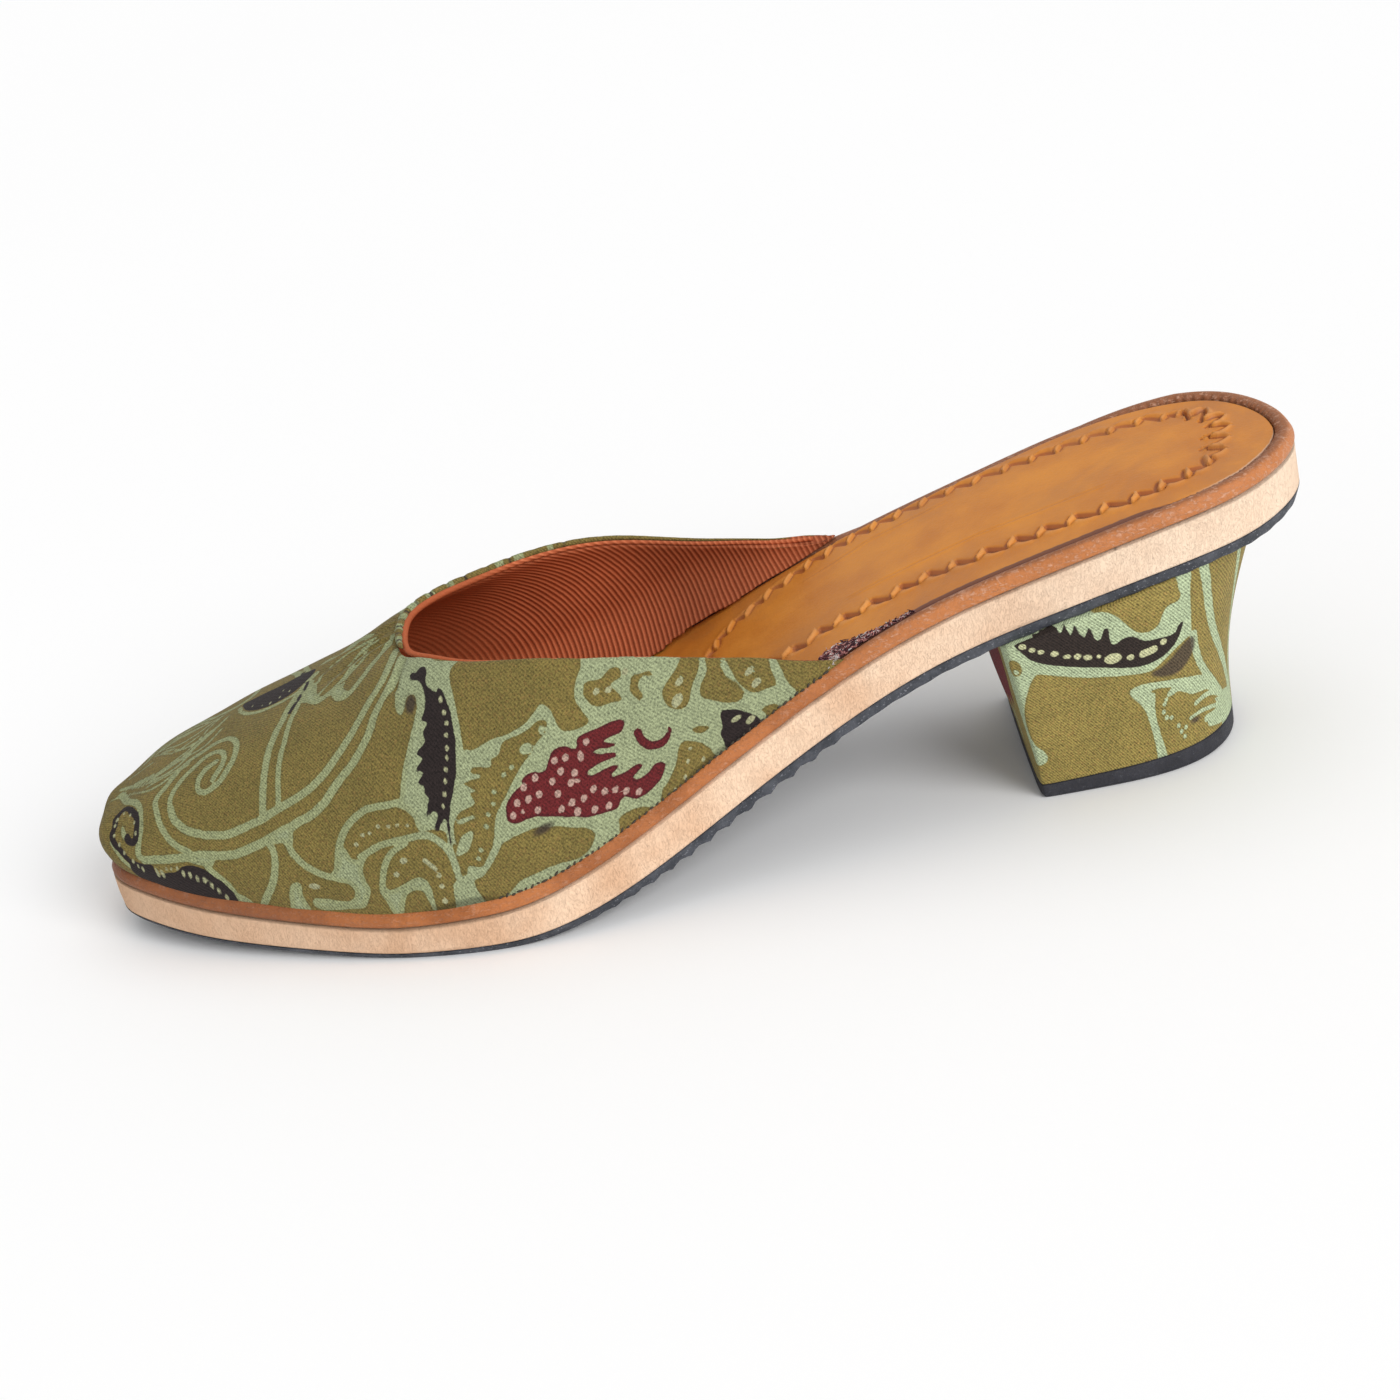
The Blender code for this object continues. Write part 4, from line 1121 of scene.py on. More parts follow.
def tube(line, radius, sides):
    """A closed tube and the ring of each corner. The radius depends on the ring and the angle in degrees."""
    grid = bmesh.new()
    bmesh.ops.create_grid(grid, x_segments=len(line) - 1, y_segments=sides, size=1.0)
    flat = np.array([corner.co for corner in grid.verts])
    index = np.rint((flat[:, 0] + 1) / 2 * (len(line) - 1)).astype(int)
    angle = (flat[:, 1] + 1) / 2 * 2 * math.pi
    ahead = np.gradient(line, axis=0)
    ahead /= np.linalg.norm(ahead, axis=1)[:, None]
    side = np.cross(ahead, (0.0, 0.0, 1.0))
    side /= np.linalg.norm(side, axis=1)[:, None]
    above = np.cross(side, ahead)
    size = radius(index, np.degrees(angle))[:, None]
    around = side[index] * np.cos(angle)[:, None] + above[index] * np.sin(angle)[:, None]
    ring = line[index] + size * around
    marker = grid.verts.layers.int.new("ring")
    for number, corner in enumerate(grid.verts):
        corner.co = Vector(ring[number]) * MM
        corner[marker] = int(index[number])
    bmesh.ops.remove_doubles(grid, verts=grid.verts, dist=1e-6)
    bmesh.ops.holes_fill(grid, edges=[edge for edge in grid.edges if edge.is_boundary], sides=0)
    bmesh.ops.recalc_face_normals(grid, faces=grid.faces)
    mesh = bpy.data.meshes.new("tube")
    grid.to_mesh(mesh)
    grid.free()
    return mesh, column(mesh.attributes["ring"].data, "value")


opening_line = chained(collar_line)
print("the opening has", len(opening_line), "corners")

# %% [markdown]
# ## The line of the opening
# The edges between the skin and the rim are chained into one line, eased, and measured from the throat, less
# than nothing on the inner side. Tables along that measure set where each roll lies and how thick it is.

# %% Measure the opening
GAP = 0.45
collar, collar_marks = resampled(levelled(opening_line), GAP, 5)
front = int(np.argmin(collar[:, 0]))
past_throat = collar_marks - collar_marks[front]
ahead = np.gradient(collar, axis=0)
inward = np.cross(ahead, (0.0, 0.0, 1.0))
inward /= np.linalg.norm(inward, axis=1)[:, None]
up = np.array((0.0, 0.0, 1.0))

behind = collar[:, 0] > REAR_X
inner_end = past_throat[(past_throat < 0) & behind].max()
outer_end = past_throat[(past_throat > 0) & behind].min()
print("top edges are", round(-inner_end), "and", round(outer_end), "mm long")

# %% [markdown]
# ## The lining's edge
# The lining's fold lies just inside the opening, as a tube of an even thickness that thins towards both ends
# of the shoe. It carries the same rib numbers as the lining, so the ribs run on over it.

# %% Roll the lining's edge
EDGE_INWARD, EDGE_SIDES = 1.35, 12
EDGE_DROP = [-40, -22, -8, 0, 60, 90], [1.9, 1.5, 0.75, 0.30, 0.20, 0.20]
OUTER_DROP = [20, 40, 90], [0.0, 0.22, 0.25]
EDGE_RADIUS = [-30, 0, 25, 50], [0.55, 0.74, 0.62, 0.42]
keep = (past_throat > inner_end) & (past_throat < outer_end)
drop = np.interp(past_throat, *EDGE_DROP) + np.interp(past_throat, *OUTER_DROP)
edge_radius = np.interp(past_throat, *EDGE_RADIUS)[keep]
edge_line = (collar + inward * EDGE_INWARD - up * drop[:, None])[keep]
edge_mesh, _ = tube(edge_line, lambda index, angle: edge_radius[index], EDGE_SIDES)
places = points(edge_mesh)
carry(edge_mesh, "rib", rib_number(places))
carry(edge_mesh, "plain", np.clip(smoothness(places) + 0.3, 0, 1))
carry(edge_mesh, "fresh", 0.5 + 0.5 * freshness(places))
# The fold is a lighter copy of the lining, painted lighter as a highlight along the edge.
edge_cotton = ribbed("lining_edge", 1.2)
show(edge_mesh, "lining_edge", [edge_cotton], "upper")

# %% [markdown]
# ## The gathered roll
# The roll is thick along the outer side and tapers to nothing at its two ends. Each stitch nips it, and folds
# run into the nip. Short lengths of it are mint, where a motif is folded over.

# %% Roll the batik over a cord
NIPS = path(  # place along the line, and how hard the stitch pulls
    "-5,1 -1.8,0.8 1.4,1 4.9,0.7 8.6,1 12.8,0.8 17,1 21.4,0.7 25.6,0.9 31,0.6 36,0.8 41.5,0.5 48,0.7 56,0.4"
)
MINT_LENGTHS = path("-5,3 1,2.6 6.2,2.2 11.4,3.6 16.6,2.2 21.8,1.6 33.6,1.8 38,2.2 45,1.2")
NIP_WIDTH, NIP_DEPTH, NIP_SHADE = 0.55, 0.34, 1.9
ROLL_FROM, ROLL_TO = -9.0, 96.0
ROLL_THICK = [ROLL_FROM, -6, 0, 26, 42, 60, ROLL_TO], [0.12, 0.62, 0.92, 0.90, 0.75, 0.50, 0.10]
ROLL_RISE = [60, 85], [0.18, -0.12]
ROLL_INWARD, ROLL_SIDES = 0.35, 14
keep = (past_throat > ROLL_FROM) & (past_throat < ROLL_TO)
at = past_throat[keep]
thick = np.interp(at, *ROLL_THICK)
nip = sum(deep * np.exp(-(((at - place) / NIP_WIDTH) ** 2)) for place, deep in NIPS)


def roll_radius(index, angle):
    """Thinner at each nip, with small folds running slantwise into it."""
    folds = 0.09 * np.sin(np.radians(angle) * 5 + at[index] * 2.1) * (0.4 + nip[index])
    return thick[index] * (1 - NIP_DEPTH * nip[index] + folds)


rise = np.interp(past_throat, *ROLL_RISE)
roll_line = (collar + inward * ROLL_INWARD + up * rise[:, None])[keep]
roll_mesh, rings = tube(roll_line, roll_radius, ROLL_SIDES)
roll_at = at[rings]
roll_mint = np.full(len(roll_at), 2.0)
for place, length in MINT_LENGTHS:
    roll_mint = np.minimum(roll_mint, np.abs(roll_at - place) - length / 2)
for name in ("dark", "crimson", "pale", "pink", "foot"):
    carry(roll_mesh, name, np.full(len(roll_at), FAR))
carry(roll_mesh, "mint", roll_mint)
# Painted shade: the roll is darker at each nip, where the stitch pulls it in.
carry(roll_mesh, "dusk", 1.2 - NIP_SHADE * nip[rings])
carry(roll_mesh, "weft", roll_at)
carry(roll_mesh, "warp", points(roll_mesh)[:, 2])
show(roll_mesh, "gathered_roll", [upper_batik], "upper")

# %% [markdown]
# ## Stitches at the foot
# Black thread holds the cloth to the rand along the waist of the shoe. One stitch is a small ball drawn long,
# laid slantwise over the joint, and it is repeated along the foot of the skin on both sides.

# %% Sew the joint
STITCH_PITCH = 1.25
STITCH_FROM, STITCH_TO = 82.0, 152.0
STITCH_OUT, STITCH_UP, STITCH_RADIUS = 0.16, 0.16, 0.60
THREAD_BLACK, THREAD_BROWN = (0.030, 0.024, 0.018), (0.090, 0.072, 0.050)


def side_line(pieces, sign):
    """Corners of short lines on one side of the shoe, in order along it."""
    corners = np.array([end for piece in pieces for end in piece])
    corners = corners[(corners[:, 1] * sign > 5) & (corners[:, 0] > -80)]
    order = np.argsort(corners[:, 0])
    return corners[order][np.concatenate([[True], np.diff(corners[order][:, 0]) > 0.3])]


threads = bmesh.new()
for sign in (-1, 1):
    foot = side_line(foot_line, sign)
    marks = np.arange(STITCH_FROM, STITCH_TO, STITCH_PITCH) + TOE_END
    for number, x in enumerate(marks):
        y, z = np.interp(x, foot[:, 0], foot[:, 1]), np.interp(x, foot[:, 0], foot[:, 2])
        slope = math.atan2(np.interp(x + 1, foot[:, 0], foot[:, 2]) - z, 1.0)
        shift = 0.14 * math.sin(number * 2.3)
        place = Matrix.Translation(Vector((x, y + sign * STITCH_OUT, z + STITCH_UP + shift)) * MM)
        turned = Matrix.Rotation(-slope - 0.4 - 0.6 * math.sin(number * 1.7), 4, "Y")
        long = Matrix.Diagonal((1.0 + 0.35 * math.sin(number * 2.9), 0.50, 0.42, 1.0))
        bmesh.ops.create_uvsphere(
            threads, u_segments=6, v_segments=5, radius=STITCH_RADIUS * MM, matrix=place @ turned @ long
        )
stitch_mesh = bpy.data.meshes.new("stitches")
threads.to_mesh(stitch_mesh)
threads.free()
black_thread = Finish("black_thread", Roughness=0.8, Specular_IOR_Level=0.3)
black_thread.show(Base_Color=black_thread.mix(black_thread.noise(0.4), THREAD_BLACK, THREAD_BROWN))
show(stitch_mesh, "joint_stitches", [black_thread], "upper")

# %% [markdown]
# ## Foam midsole
# The wedge under the foot is cut from a sheet of foam rubber: matt, peach, and crumbly where the knife went
# through the bubbles. Only its edge shows. The surfaces of the sole are ruled straight across, so a height
# over or under them can be read from a table along the shoe.

# %% Foam finish and midsole
FOAM = (0.780, 0.490, 0.310)
FOAM_LIGHT = (0.950, 0.685, 0.485)
FOAM_TOE_SHADE = (0.640, 0.400, 0.250)
FOAM_HEEL_LIGHT = (0.980, 0.790, 0.610)
SOLE_STEP, SOLE_SLICE = 1.5, 1.2
SHARP = 30  # degrees, for every piece of the sole


def along_sole(places, pick):
    """Height of a piece's upper or lower surface at each of its corners, read in slices along the shoe."""
    marks = np.arange(places[:, 0].min(), places[:, 0].max() + 1, SOLE_STEP)
    heights = [pick(places[np.abs(places[:, 0] - at) < SOLE_SLICE, 2]) for at in marks]
    return np.interp(places[:, 0], marks, heights)


def make_foam():
    """Crumbly peach foam, painted darker at the toe and lighter towards the heel, as shade and light."""
    foam = Finish("foam_cut_edge", Roughness=0.95, Specular_IOR_Level=0.15)
    crumb = foam.noise(0.7, 3.0, 0.6, stretch=(1.0, 1.0, 0.40), twist=0.8)
    crinkle = foam.noise(0.55, 2.0, 0.6, stretch=(1.0, 1.0, 0.35), twist=1.5)
    crack = foam.step(abs(crinkle - 0.5), 0.03, 0.0)
    cloud = foam.noise(14.0, 3.0)
    colour = foam.mix(foam.step(cloud, 0.3, 0.7), FOAM, FOAM_LIGHT)
    # Painted shade towards the toe and painted light towards the heel.
    colour = foam.mix(foam.step(foam.attribute("station"), 120.0, -10.0) * 0.7, colour, FOAM_TOE_SHADE)
    colour = foam.mix(foam.step(foam.attribute("station"), 140.0, 235.0) * 0.6, colour, FOAM_HEEL_LIGHT)
    hairline = foam.step(foam.attribute("hairline"), 0.16, 0.04)
    # Painted shade: the foam is darker just under the rand's bead.
    edge = foam.step(foam.attribute("from_top"), 0.55, 0.0)
    tone = 0.89 + crumb * 0.16 - crack * 0.09 - hairline * 0.35 - edge * 0.30
    foam.show(Base_Color=foam.tint(colour, tone))
    foam.bump(crumb * 0.7 - crack * 0.3, 0.15)
    return foam


foam = make_foam()
midsole_mesh = softened("midsole", SHARP)
places = points(midsole_mesh)
carry(midsole_mesh, "station", places[:, 0] - TOE_END)
carry(midsole_mesh, "from_top", along_sole(places, np.max) - places[:, 2])
# A hairline crack runs through the inner edge near the heel. It is drawn as a motif, on the side view.
side_view = Cloth(places[:, 0] - TOE_END, places[:, 2], 1.0, 1.0)
hairline = side_view.blank()
side_view.stroke(hairline, Stroke(0.0, "199,52.6 204,53.2 209,53.1 213,51.6 215.6,49.6"))
carry(midsole_mesh, "hairline", np.where(places[:, 1] < 0, hairline, FAR))
show(midsole_mesh, "foam_midsole", [foam], "midsole", "midsole")

# %% [markdown]
# ## Rubber outsole
# A thin sheet of black rubber, dusty grey where it has been handled. Under the waist it is ribbed across for
# grip, and the ribs show at its edge as a row of small steps; behind them its edge was trimmed roughly.

# %% Rubber finish and outsole
RUBBER = (0.034, 0.038, 0.048)
RUBBER_DUST = (0.090, 0.096, 0.114)
RUBBER_SPECK = (0.290, 0.295, 0.330)
TOP_BLACK, TOP_DUST = (0.021, 0.021, 0.028), (0.036, 0.036, 0.046)
RIB_STEP, RIB_DEPTH = 4.3, 0.46
RIBS_FROM, RIBS_TO = 90.0, 154.0
ROUGHNESS = 0.16  # how far the knife wandered behind the ribs


def make_rubber(name, base, dust, specked):
    """Black rubber with dust rubbed into it, and pale specks by a share of 1."""
    rubber = Finish(name, Roughness=0.6, Specular_IOR_Level=0.4)
    cloud = rubber.noise(6.0, 4.0, 0.65)
    grain = rubber.noise(0.5, 3.0, 0.7)
    speck = rubber.step(rubber.noise(0.55, 2.0, 0.7), 0.60, 0.72)
    colour = rubber.mix(rubber.step(cloud, 0.35, 0.7), base, dust)
    colour = rubber.mix(speck * specked, colour, RUBBER_SPECK)
    rubber.show(Base_Color=rubber.tint(colour, 0.6 + grain * 0.8), Roughness=0.5 + grain * 0.3)
    rubber.bump(grain, 0.28)
    return rubber


rubber = make_rubber("outsole_rubber", RUBBER, RUBBER_DUST, specked=0.75)
outsole_mesh = softened("outsole", SHARP)
places = points(outsole_mesh)
station_there = places[:, 0] - TOE_END
top_of_rubber, foot_of_rubber = along_sole(places, np.max), along_sole(places, np.min)
depth = np.clip((top_of_rubber - places[:, 2]) / np.maximum(top_of_rubber - foot_of_rubber, 0.5), 0, 1)
phase = 2 * math.pi * station_there / RIB_STEP + 1.1 * np.sin(station_there / 9)
ribs = np.sin(phase) + 0.35 * np.sin(2 * phase + 0.6)
within = np.clip((station_there - RIBS_FROM) / 30, 0, 1) * np.clip((RIBS_TO - station_there) / 6, 0, 1)
rough = ROUGHNESS * np.sin(station_there * 0.9) * np.sin(station_there * 0.31 + places[:, 1] * 0.4)
rough = rough * np.clip((station_there - RIBS_TO + 4) / 8, 0, 1)
places[:, 2] += depth * (RIB_DEPTH * ribs * within + rough)
move(outsole_mesh, places)
show(outsole_mesh, "rubber_outsole", [rubber], "outsole", "outsole")

# %% [markdown]
# ## Top piece
# The heel stands on a wedge of harder, blacker rubber. It hardly wears, so it has few specks.

# %% Top piece
top_rubber = make_rubber("top_piece_rubber", TOP_BLACK, TOP_DUST, specked=0.12)
show(softened("top_piece", SHARP), "rubber_top_piece", [top_rubber], "top_piece", "top_piece")

# %% [markdown]
# ## Leather rand
# A strip of thin brown leather is rolled over a core into a bead round the edge. Shade is painted on it where
# it meets the foam and the insole and where the cloth overhangs it, and it is darker at the toe. Behind the
# waist it is redder, with painted shade over the inner top of the bead, light scuffs, and short light streaks
# that are partly scratches and partly painted highlights.

# %% Rand finish
RAND_BROWN = (0.340, 0.105, 0.026)
RAND_LIGHT = (0.510, 0.172, 0.050)
RAND_DARK = (0.120, 0.040, 0.018)
RAND_RED = (0.590, 0.212, 0.066)
RAND_INNER_SHADE = (0.110, 0.040, 0.036)
RAND_SCUFF_AND_GLINT = (0.720, 0.420, 0.290)
RAND_SHADE = (0.035, 0.014, 0.010)


def make_rand_leather():
    """Brown leather with painted shade where it meets the foam, the insole and the cloth, and redder behind
    the waist.
    """
    leather = Finish("rand_leather", Roughness=0.42, Specular_IOR_Level=0.35)
    across, station = leather.attribute("across"), leather.attribute("station")
    fine = leather.noise(0.5, 3.0, 0.7)
    cloud = leather.noise(10.0, 4.0, 0.6)
    wrinkle = leather.noise(1.3, 3.0, 0.6, twist=1.2)
    colour = leather.mix(leather.step(cloud, 0.3, 0.7), RAND_BROWN, RAND_LIGHT)
    # Painted shade where the bead sits on the foam, and on its inner side beside the insole.
    joint = leather.step(leather.attribute("over_foam"), 0.45, 0.0)
    ragged = (leather.noise(1.0, 2.0) - 0.5) * 0.9
    inner = leather.step(across + ragged, 1.9, 2.6)
    colour = leather.mix(joint * 0.7, colour, RAND_DARK)
    colour = leather.mix(inner * 0.85, colour, RAND_INNER_SHADE)
    # Behind the waist the leather is redder, with painted shade over the inner top of the bead, light scuffs,
    # and short light streaks that are partly scratches and partly painted highlights on the crinkled leather.
    rear = leather.step(station, 135.0, 175.0)
    colour = leather.mix(rear * 0.65, colour, RAND_RED)
    inner_top_shade = leather.step(across + ragged, 0.4, 1.6)
    colour = leather.mix(inner_top_shade * rear * 0.50, colour, RAND_DARK)
    scuff = leather.step(leather.noise(3.2, 4.0, 0.7), 0.58, 0.72) * 0.30
    scratch_and_glint = leather.step(leather.noise(0.9, 3.0, 0.7, stretch=(0.6, 1.0, 1.4), twist=1.0), 0.50, 0.66)
    colour = leather.mix(scuff + scratch_and_glint * (0.16 + rear * 0.34), colour, RAND_SCUFF_AND_GLINT)
    toe = leather.step(station, 70.0, 25.0)
    colour = leather.mix(toe * 0.55, colour, RAND_DARK)
    under_cloth = leather.step(across, 1.1, 2.1) * leather.step(station, 80.0, 50.0)
    colour = leather.mix(under_cloth * 0.6, colour, RAND_SHADE)
    leather.show(
        Base_Color=leather.tint(colour, 0.72 + fine * 0.3 + wrinkle * 0.28),
        Roughness=0.36 + fine * 0.25,
    )
    leather.bump(wrinkle * 0.6 + fine * 0.4 + scratch_and_glint * 0.2, 0.34)
    return leather


rand_leather = make_rand_leather()
print("rand finish has", len(rand_leather.tree.nodes), "nodes")

# %% [markdown]
# ## The bead
# The bead is crowned by pushing up the middle of its top. Round the heel the leather had to be pleated to
# turn the corner, which shows on the inner side of the bead as short upright folds.

# %% Crown and pleat the bead
CROWN, BEAD = 0.55, 3.7  # height and width of the bead
SPINE = (-95, 100)  # x of the middle line that the bead faces away from
FINE_X = 85  # the mesh is finer behind this x, for the folds
HALF_HEIGHT, WALL_BAND = 1.4, 0.7
FAR_SINK = 1.1  # how far the bead lies lower behind the outer side
PLEAT_PITCH, PLEAT_RISE, PLEAT_PUSH = 1.5, 0.22, 0.20
HEEL_CENTRE, HEEL_REACH = (225.0, -2.0), 22.0
rand_mesh = rounded(merged("rand"), 2)
split_faces(rand_mesh, lambda face: face.calc_center_median().x > FINE_X * MM)
places, facing = points(rand_mesh), normals(rand_mesh)
floor_of_rand = along_sole(places, np.min)
over_foam = places[:, 2] - floor_of_rand
outward = places[:, :2] - np.stack([np.clip(places[:, 0], *SPINE), 0 * places[:, 0]], 1)
facing_out = (facing[:, :2] * outward).sum(1) > 0
upright = (np.abs(facing[:, 2]) < 0.35) & (np.abs(over_foam - HALF_HEIGHT) < WALL_BAND)
outer = places[upright & facing_out]
tree = KDTree(len(outer))
for index, place in enumerate(outer):
    tree.insert((place[0], place[1], 0.0), index)
tree.balance()
across = np.array([tree.find((place[0], place[1], 0.0))[2] for place in places])
top_half = np.clip((over_foam - 1.2) / 1.2, 0, 1)
station_there = places[:, 0] - TOE_END
far_side = np.clip((places[:, 1] - 8) / 8, 0, 1) * np.clip((232 - station_there) / 20, 0, 1)
far_side *= np.clip((station_there - 152) / 12, 0, 1)
crown = CROWN * np.clip(1 - ((across - BEAD / 2) / (BEAD / 2)) ** 2, 0, 1) * top_half * (1 - far_side)
crown -= FAR_SINK * far_side * top_half
around = np.arctan2(places[:, 1] - HEEL_CENTRE[1], places[:, 0] - TOE_END - HEEL_CENTRE[0])
folds = np.sin(around * HEEL_REACH * 2 * math.pi / PLEAT_PITCH + 1.3 * np.sin(around * 9))
inner_side_there = np.clip((across - 2.2) / 1.0, 0, 1) * np.clip((station_there - 212) / 8, 0, 1)
places[:, 2] += crown + PLEAT_RISE * folds * inner_side_there * top_half
places[:, :2] += facing[:, :2] * (PLEAT_PUSH * folds * inner_side_there)[:, None]
move(rand_mesh, places)
carry(rand_mesh, "over_foam", over_foam)
carry(rand_mesh, "station", station_there)
carry(rand_mesh, "across", across + 1.4 * far_side)
print("bead is", round(float(np.percentile(across, 98)), 1), "mm wide")
show(rand_mesh, "rand_bead", [rand_leather], "rand", "rand")

# %% [markdown]
# ## Tooled insole
# The foot rests on a cover of thick tan leather. A zigzag border was stamped into it by hand while it was
# damp, one leg of the zigzag long and shallow and the next short and deep, and round the heel the strokes
# fan out like rays. The cover is a fine grid laid between the two sides of the CAD insole, and each stroke of
# the tool presses the grid down and pushes a little leather up beside it.

# %% Read the insole's outline
TOP_ANGLE = math.radians(20)


def top_loop(copy):
    """Points round the flat top of a piece of the sole, as (station, across, height)."""
    start = max(copy.faces, key=lambda face: face.normal.z * 10 + face.calc_area() * 1e6)
    top = flood(start, TOP_ANGLE)
    edges = {edge for face in top for edge in face.edges if not top.issuperset(edge.link_faces)}
    rim = {corner for edge in edges for corner in edge.verts}
    found = np.array([corner.co for corner in rim]) / MM
    found[:, 0] -= TOE_END
    return found


insole_copy = merged("insole")
insole_copy.faces.ensure_lookup_table()
insole_rim = top_loop(insole_copy)
insole_copy.free()
by_station = insole_rim[np.argsort(insole_rim[:, 0])]
first_station, last_station = by_station[0, 0], by_station[-1, 0]


def side_of(rim, sign):
    """One side of the rim, toe to heel. The tips belong to both."""
    line = np.interp(rim[:, 0], [rim[0, 0], rim[-1, 0]], [rim[0, 1], rim[-1, 1]])
    keep = (rim[:, 1] - line) * sign >= -1e-3
    return rim[keep]


inner_side, outer_side = side_of(by_station, -1), side_of(by_station, 1)
print("insole runs from station", round(first_station, 1), "to", round(last_station, 1))

# %% [markdown]
# ## The grid of the cover
# The grid's rows lie closer together where the tool worked, and closest at the two tips. A row runs from one
# side of the rim to the other, so the grid follows the outline without a single list of corners.

# %% Lay a fine grid in the outline
CHAMFER = 0.8
COARSE_ROW, FINE_ROW = 2.5, 0.38
FINE_FROM = 112.0
COLUMNS = 148
TIP = 0.03  # a row can't lie on the very tip, where it would have no length
MIDDLE = 125  # the station where the two halves of the outline are told apart
HEEL_ROOT = 30  # more than both square roots together, so that stations keep their order
front, back = first_station - CHAMFER, last_station + CHAMFER
rows = np.concatenate([
    front + np.array([TIP, 0.2, 0.7, 1.5]),
    np.arange(front + 3, FINE_FROM, COARSE_ROW),
    np.arange(FINE_FROM, back - 1.2, FINE_ROW),
    back - np.array([1.0, 0.7, 0.45, 0.25, 0.1, TIP]),
])
grid = bmesh.new()
bmesh.ops.create_grid(grid, x_segments=len(rows) - 1, y_segments=COLUMNS, size=1.0)
flat = np.array([corner.co for corner in grid.verts])
row = np.rint((flat[:, 0] + 1) / 2 * (len(rows) - 1)).astype(int)
across = (flat[:, 1] + 1) / 2
station = rows[row]


def rooted(at):
    """Stations stretched along square roots from the two tips, where the outline turns round."""
    from_toe, from_heel = np.maximum(at - first_station, 0), np.maximum(last_station - at, 0)
    return np.where(at < MIDDLE, np.sqrt(from_toe), HEEL_ROOT - np.sqrt(from_heel))


def rim_value(side, at):
    """How far across a side of the rim lies at a station."""
    return np.interp(rooted(at), rooted(side[:, 0]), side[:, 1])


rim_station = first_station + (station - rows[0]) * (last_station - first_station) / (rows[-1] - rows[0])
low_side = rim_value(inner_side, rim_station) - CHAMFER
high_side = rim_value(outer_side, rim_station) + CHAMFER
level = np.interp(station, inner_side[:, 0], inner_side[:, 2])
plan = np.stack([station, low_side + (high_side - low_side) * across], 1)
inset = np.minimum(plan[:, 1] - low_side, high_side - plan[:, 1])
print("grid of", len(rows), "rows by", COLUMNS + 1, "points")

# %% [markdown]
# ## The tooled border
# The border is listed as the corners of one zigzag, in stations and millimetres across: up the inner side,
# round the heel as rays, and back along the outer side. Two creases from wear run along the middle.

# %% Corners of the border
NEAR_BORDER = (
    "128,-2 131,-8 134,-4.6 137.6,-9.6 139.5,-6.4 142.8,-11 145.4,-8.7 148.4,-11.9 151,-8 154.1,-11.5"
    " 156.2,-8.5 159.7,-12.2 162,-8.7 166.1,-12.8 168.2,-9 171.8,-12.4 173.9,-9.1 177.8,-13 179.3,-9.7"
    " 183.4,-13.6 185.5,-10.2 189.6,-14.2 191.5,-10.8 195.5,-15.2 197.4,-11.6 201.5,-15.5 203.4,-12.4"
    " 207.9,-16.2 209.6,-12.9 214.1,-16.6 215.7,-13.1 219.7,-15.4 221,-11.4 225.7,-13.2 226.4,-9.4"
    " 230.6,-9.9 230.8,-6"
)
RAYS = (
    "230.8,-6 235.2,-4.4 230.7,-2 237,1 232,3 238.5,6.3 234,8.1 238.6,12.3 233.6,11.4 235.9,17.7 231.6,14.4"
    " 231.7,19.6"
)
FAR_BORDER = (
    "231.7,19.6 230.1,17.6 228.5,19.9 227.1,17.8 223.8,22 221.9,19.2 217.9,21.9 216.5,19.6 212.3,22.3"
    " 210.8,19.8 206.7,22.6 205.4,20 201.3,22.8 199.9,20.4 195.7,23.8 194.2,21 189.8,24.2 187.7,21.4"
    " 184.2,24.6 181.9,22.1 178.4,25 176.3,22.1 172.6,25.1 170.9,22.1 167.3,25.4 165.6,22.3 162.4,25.6"
    " 160.6,22.5 157.3,25.8 155.5,22.3 152.6,25.5 150.8,21.9 148.3,24.6 146.1,21.3 143.3,24 141.3,20.2"
    " 139.2,22.4 137,18.7 134.6,20.8 132.9,16.6 130.4,17.4 130,12.8 127.6,12.4 128.6,8 126.4,5.6 128,-2"
)
CREASES = ("158,-2.4 186,-2.6 211,-4.4", "150,17.6 165,18.7 182,18.9")
print("the border has", sum(len(path(text)) for text in (NEAR_BORDER, RAYS, FAR_BORDER)), "corners")

# %% [markdown]
# ## Strokes of the tool
# A long leg is a shallow groove, and a short leg a bead between two deep ones. Where strokes cross, the
# deeper one wins, because damp leather takes a mark only once.

# %% Press the border into the leather
press = np.zeros(len(plan))


def gouge(start, end, deep, wide, lift, bead=False):
    """One stroke: a groove with a steep inner wall and a low ridge pushed up on its outer side, or a bead."""
    low, high = np.minimum(start, end) - REACH, np.maximum(start, end) + REACH
    near = np.nonzero(((plan > low) & (plan < high)).all(1))[0]
    along = end - start
    length = float(np.hypot(*along))
    away = plan[near] - start
    share = (away @ along) / length**2
    offset = (away[:, 0] * along[1] - away[:, 1] * along[0]) / length
    offset = offset + 0.35 * (share - 0.5) ** 2 * 4 - 0.2
    ends = np.clip(np.minimum(share, 1 - share) * length / 0.6 + 0.5, 0, 1)
    wide = wide * (0.75 + 0.55 * np.sin(np.clip(share, 0, 1) * math.pi))
    groove = -deep * np.exp(-(np.where(offset < 0, offset / (0.6 * wide), offset / wide) ** 2))
    ridge = lift * np.exp(-(((offset - 1.9 * wide) / (1.1 * wide)) ** 2))
    if bead:
        groove = -0.8 * groove
        ridge = -0.6 * deep * np.exp(-(((np.abs(offset) - 1.7 * wide) / (0.5 * wide)) ** 2))
    change = (groove + ridge) * ends
    stronger = np.abs(change) > np.abs(press[near])
    press[near] = np.where(stronger, change, press[near])


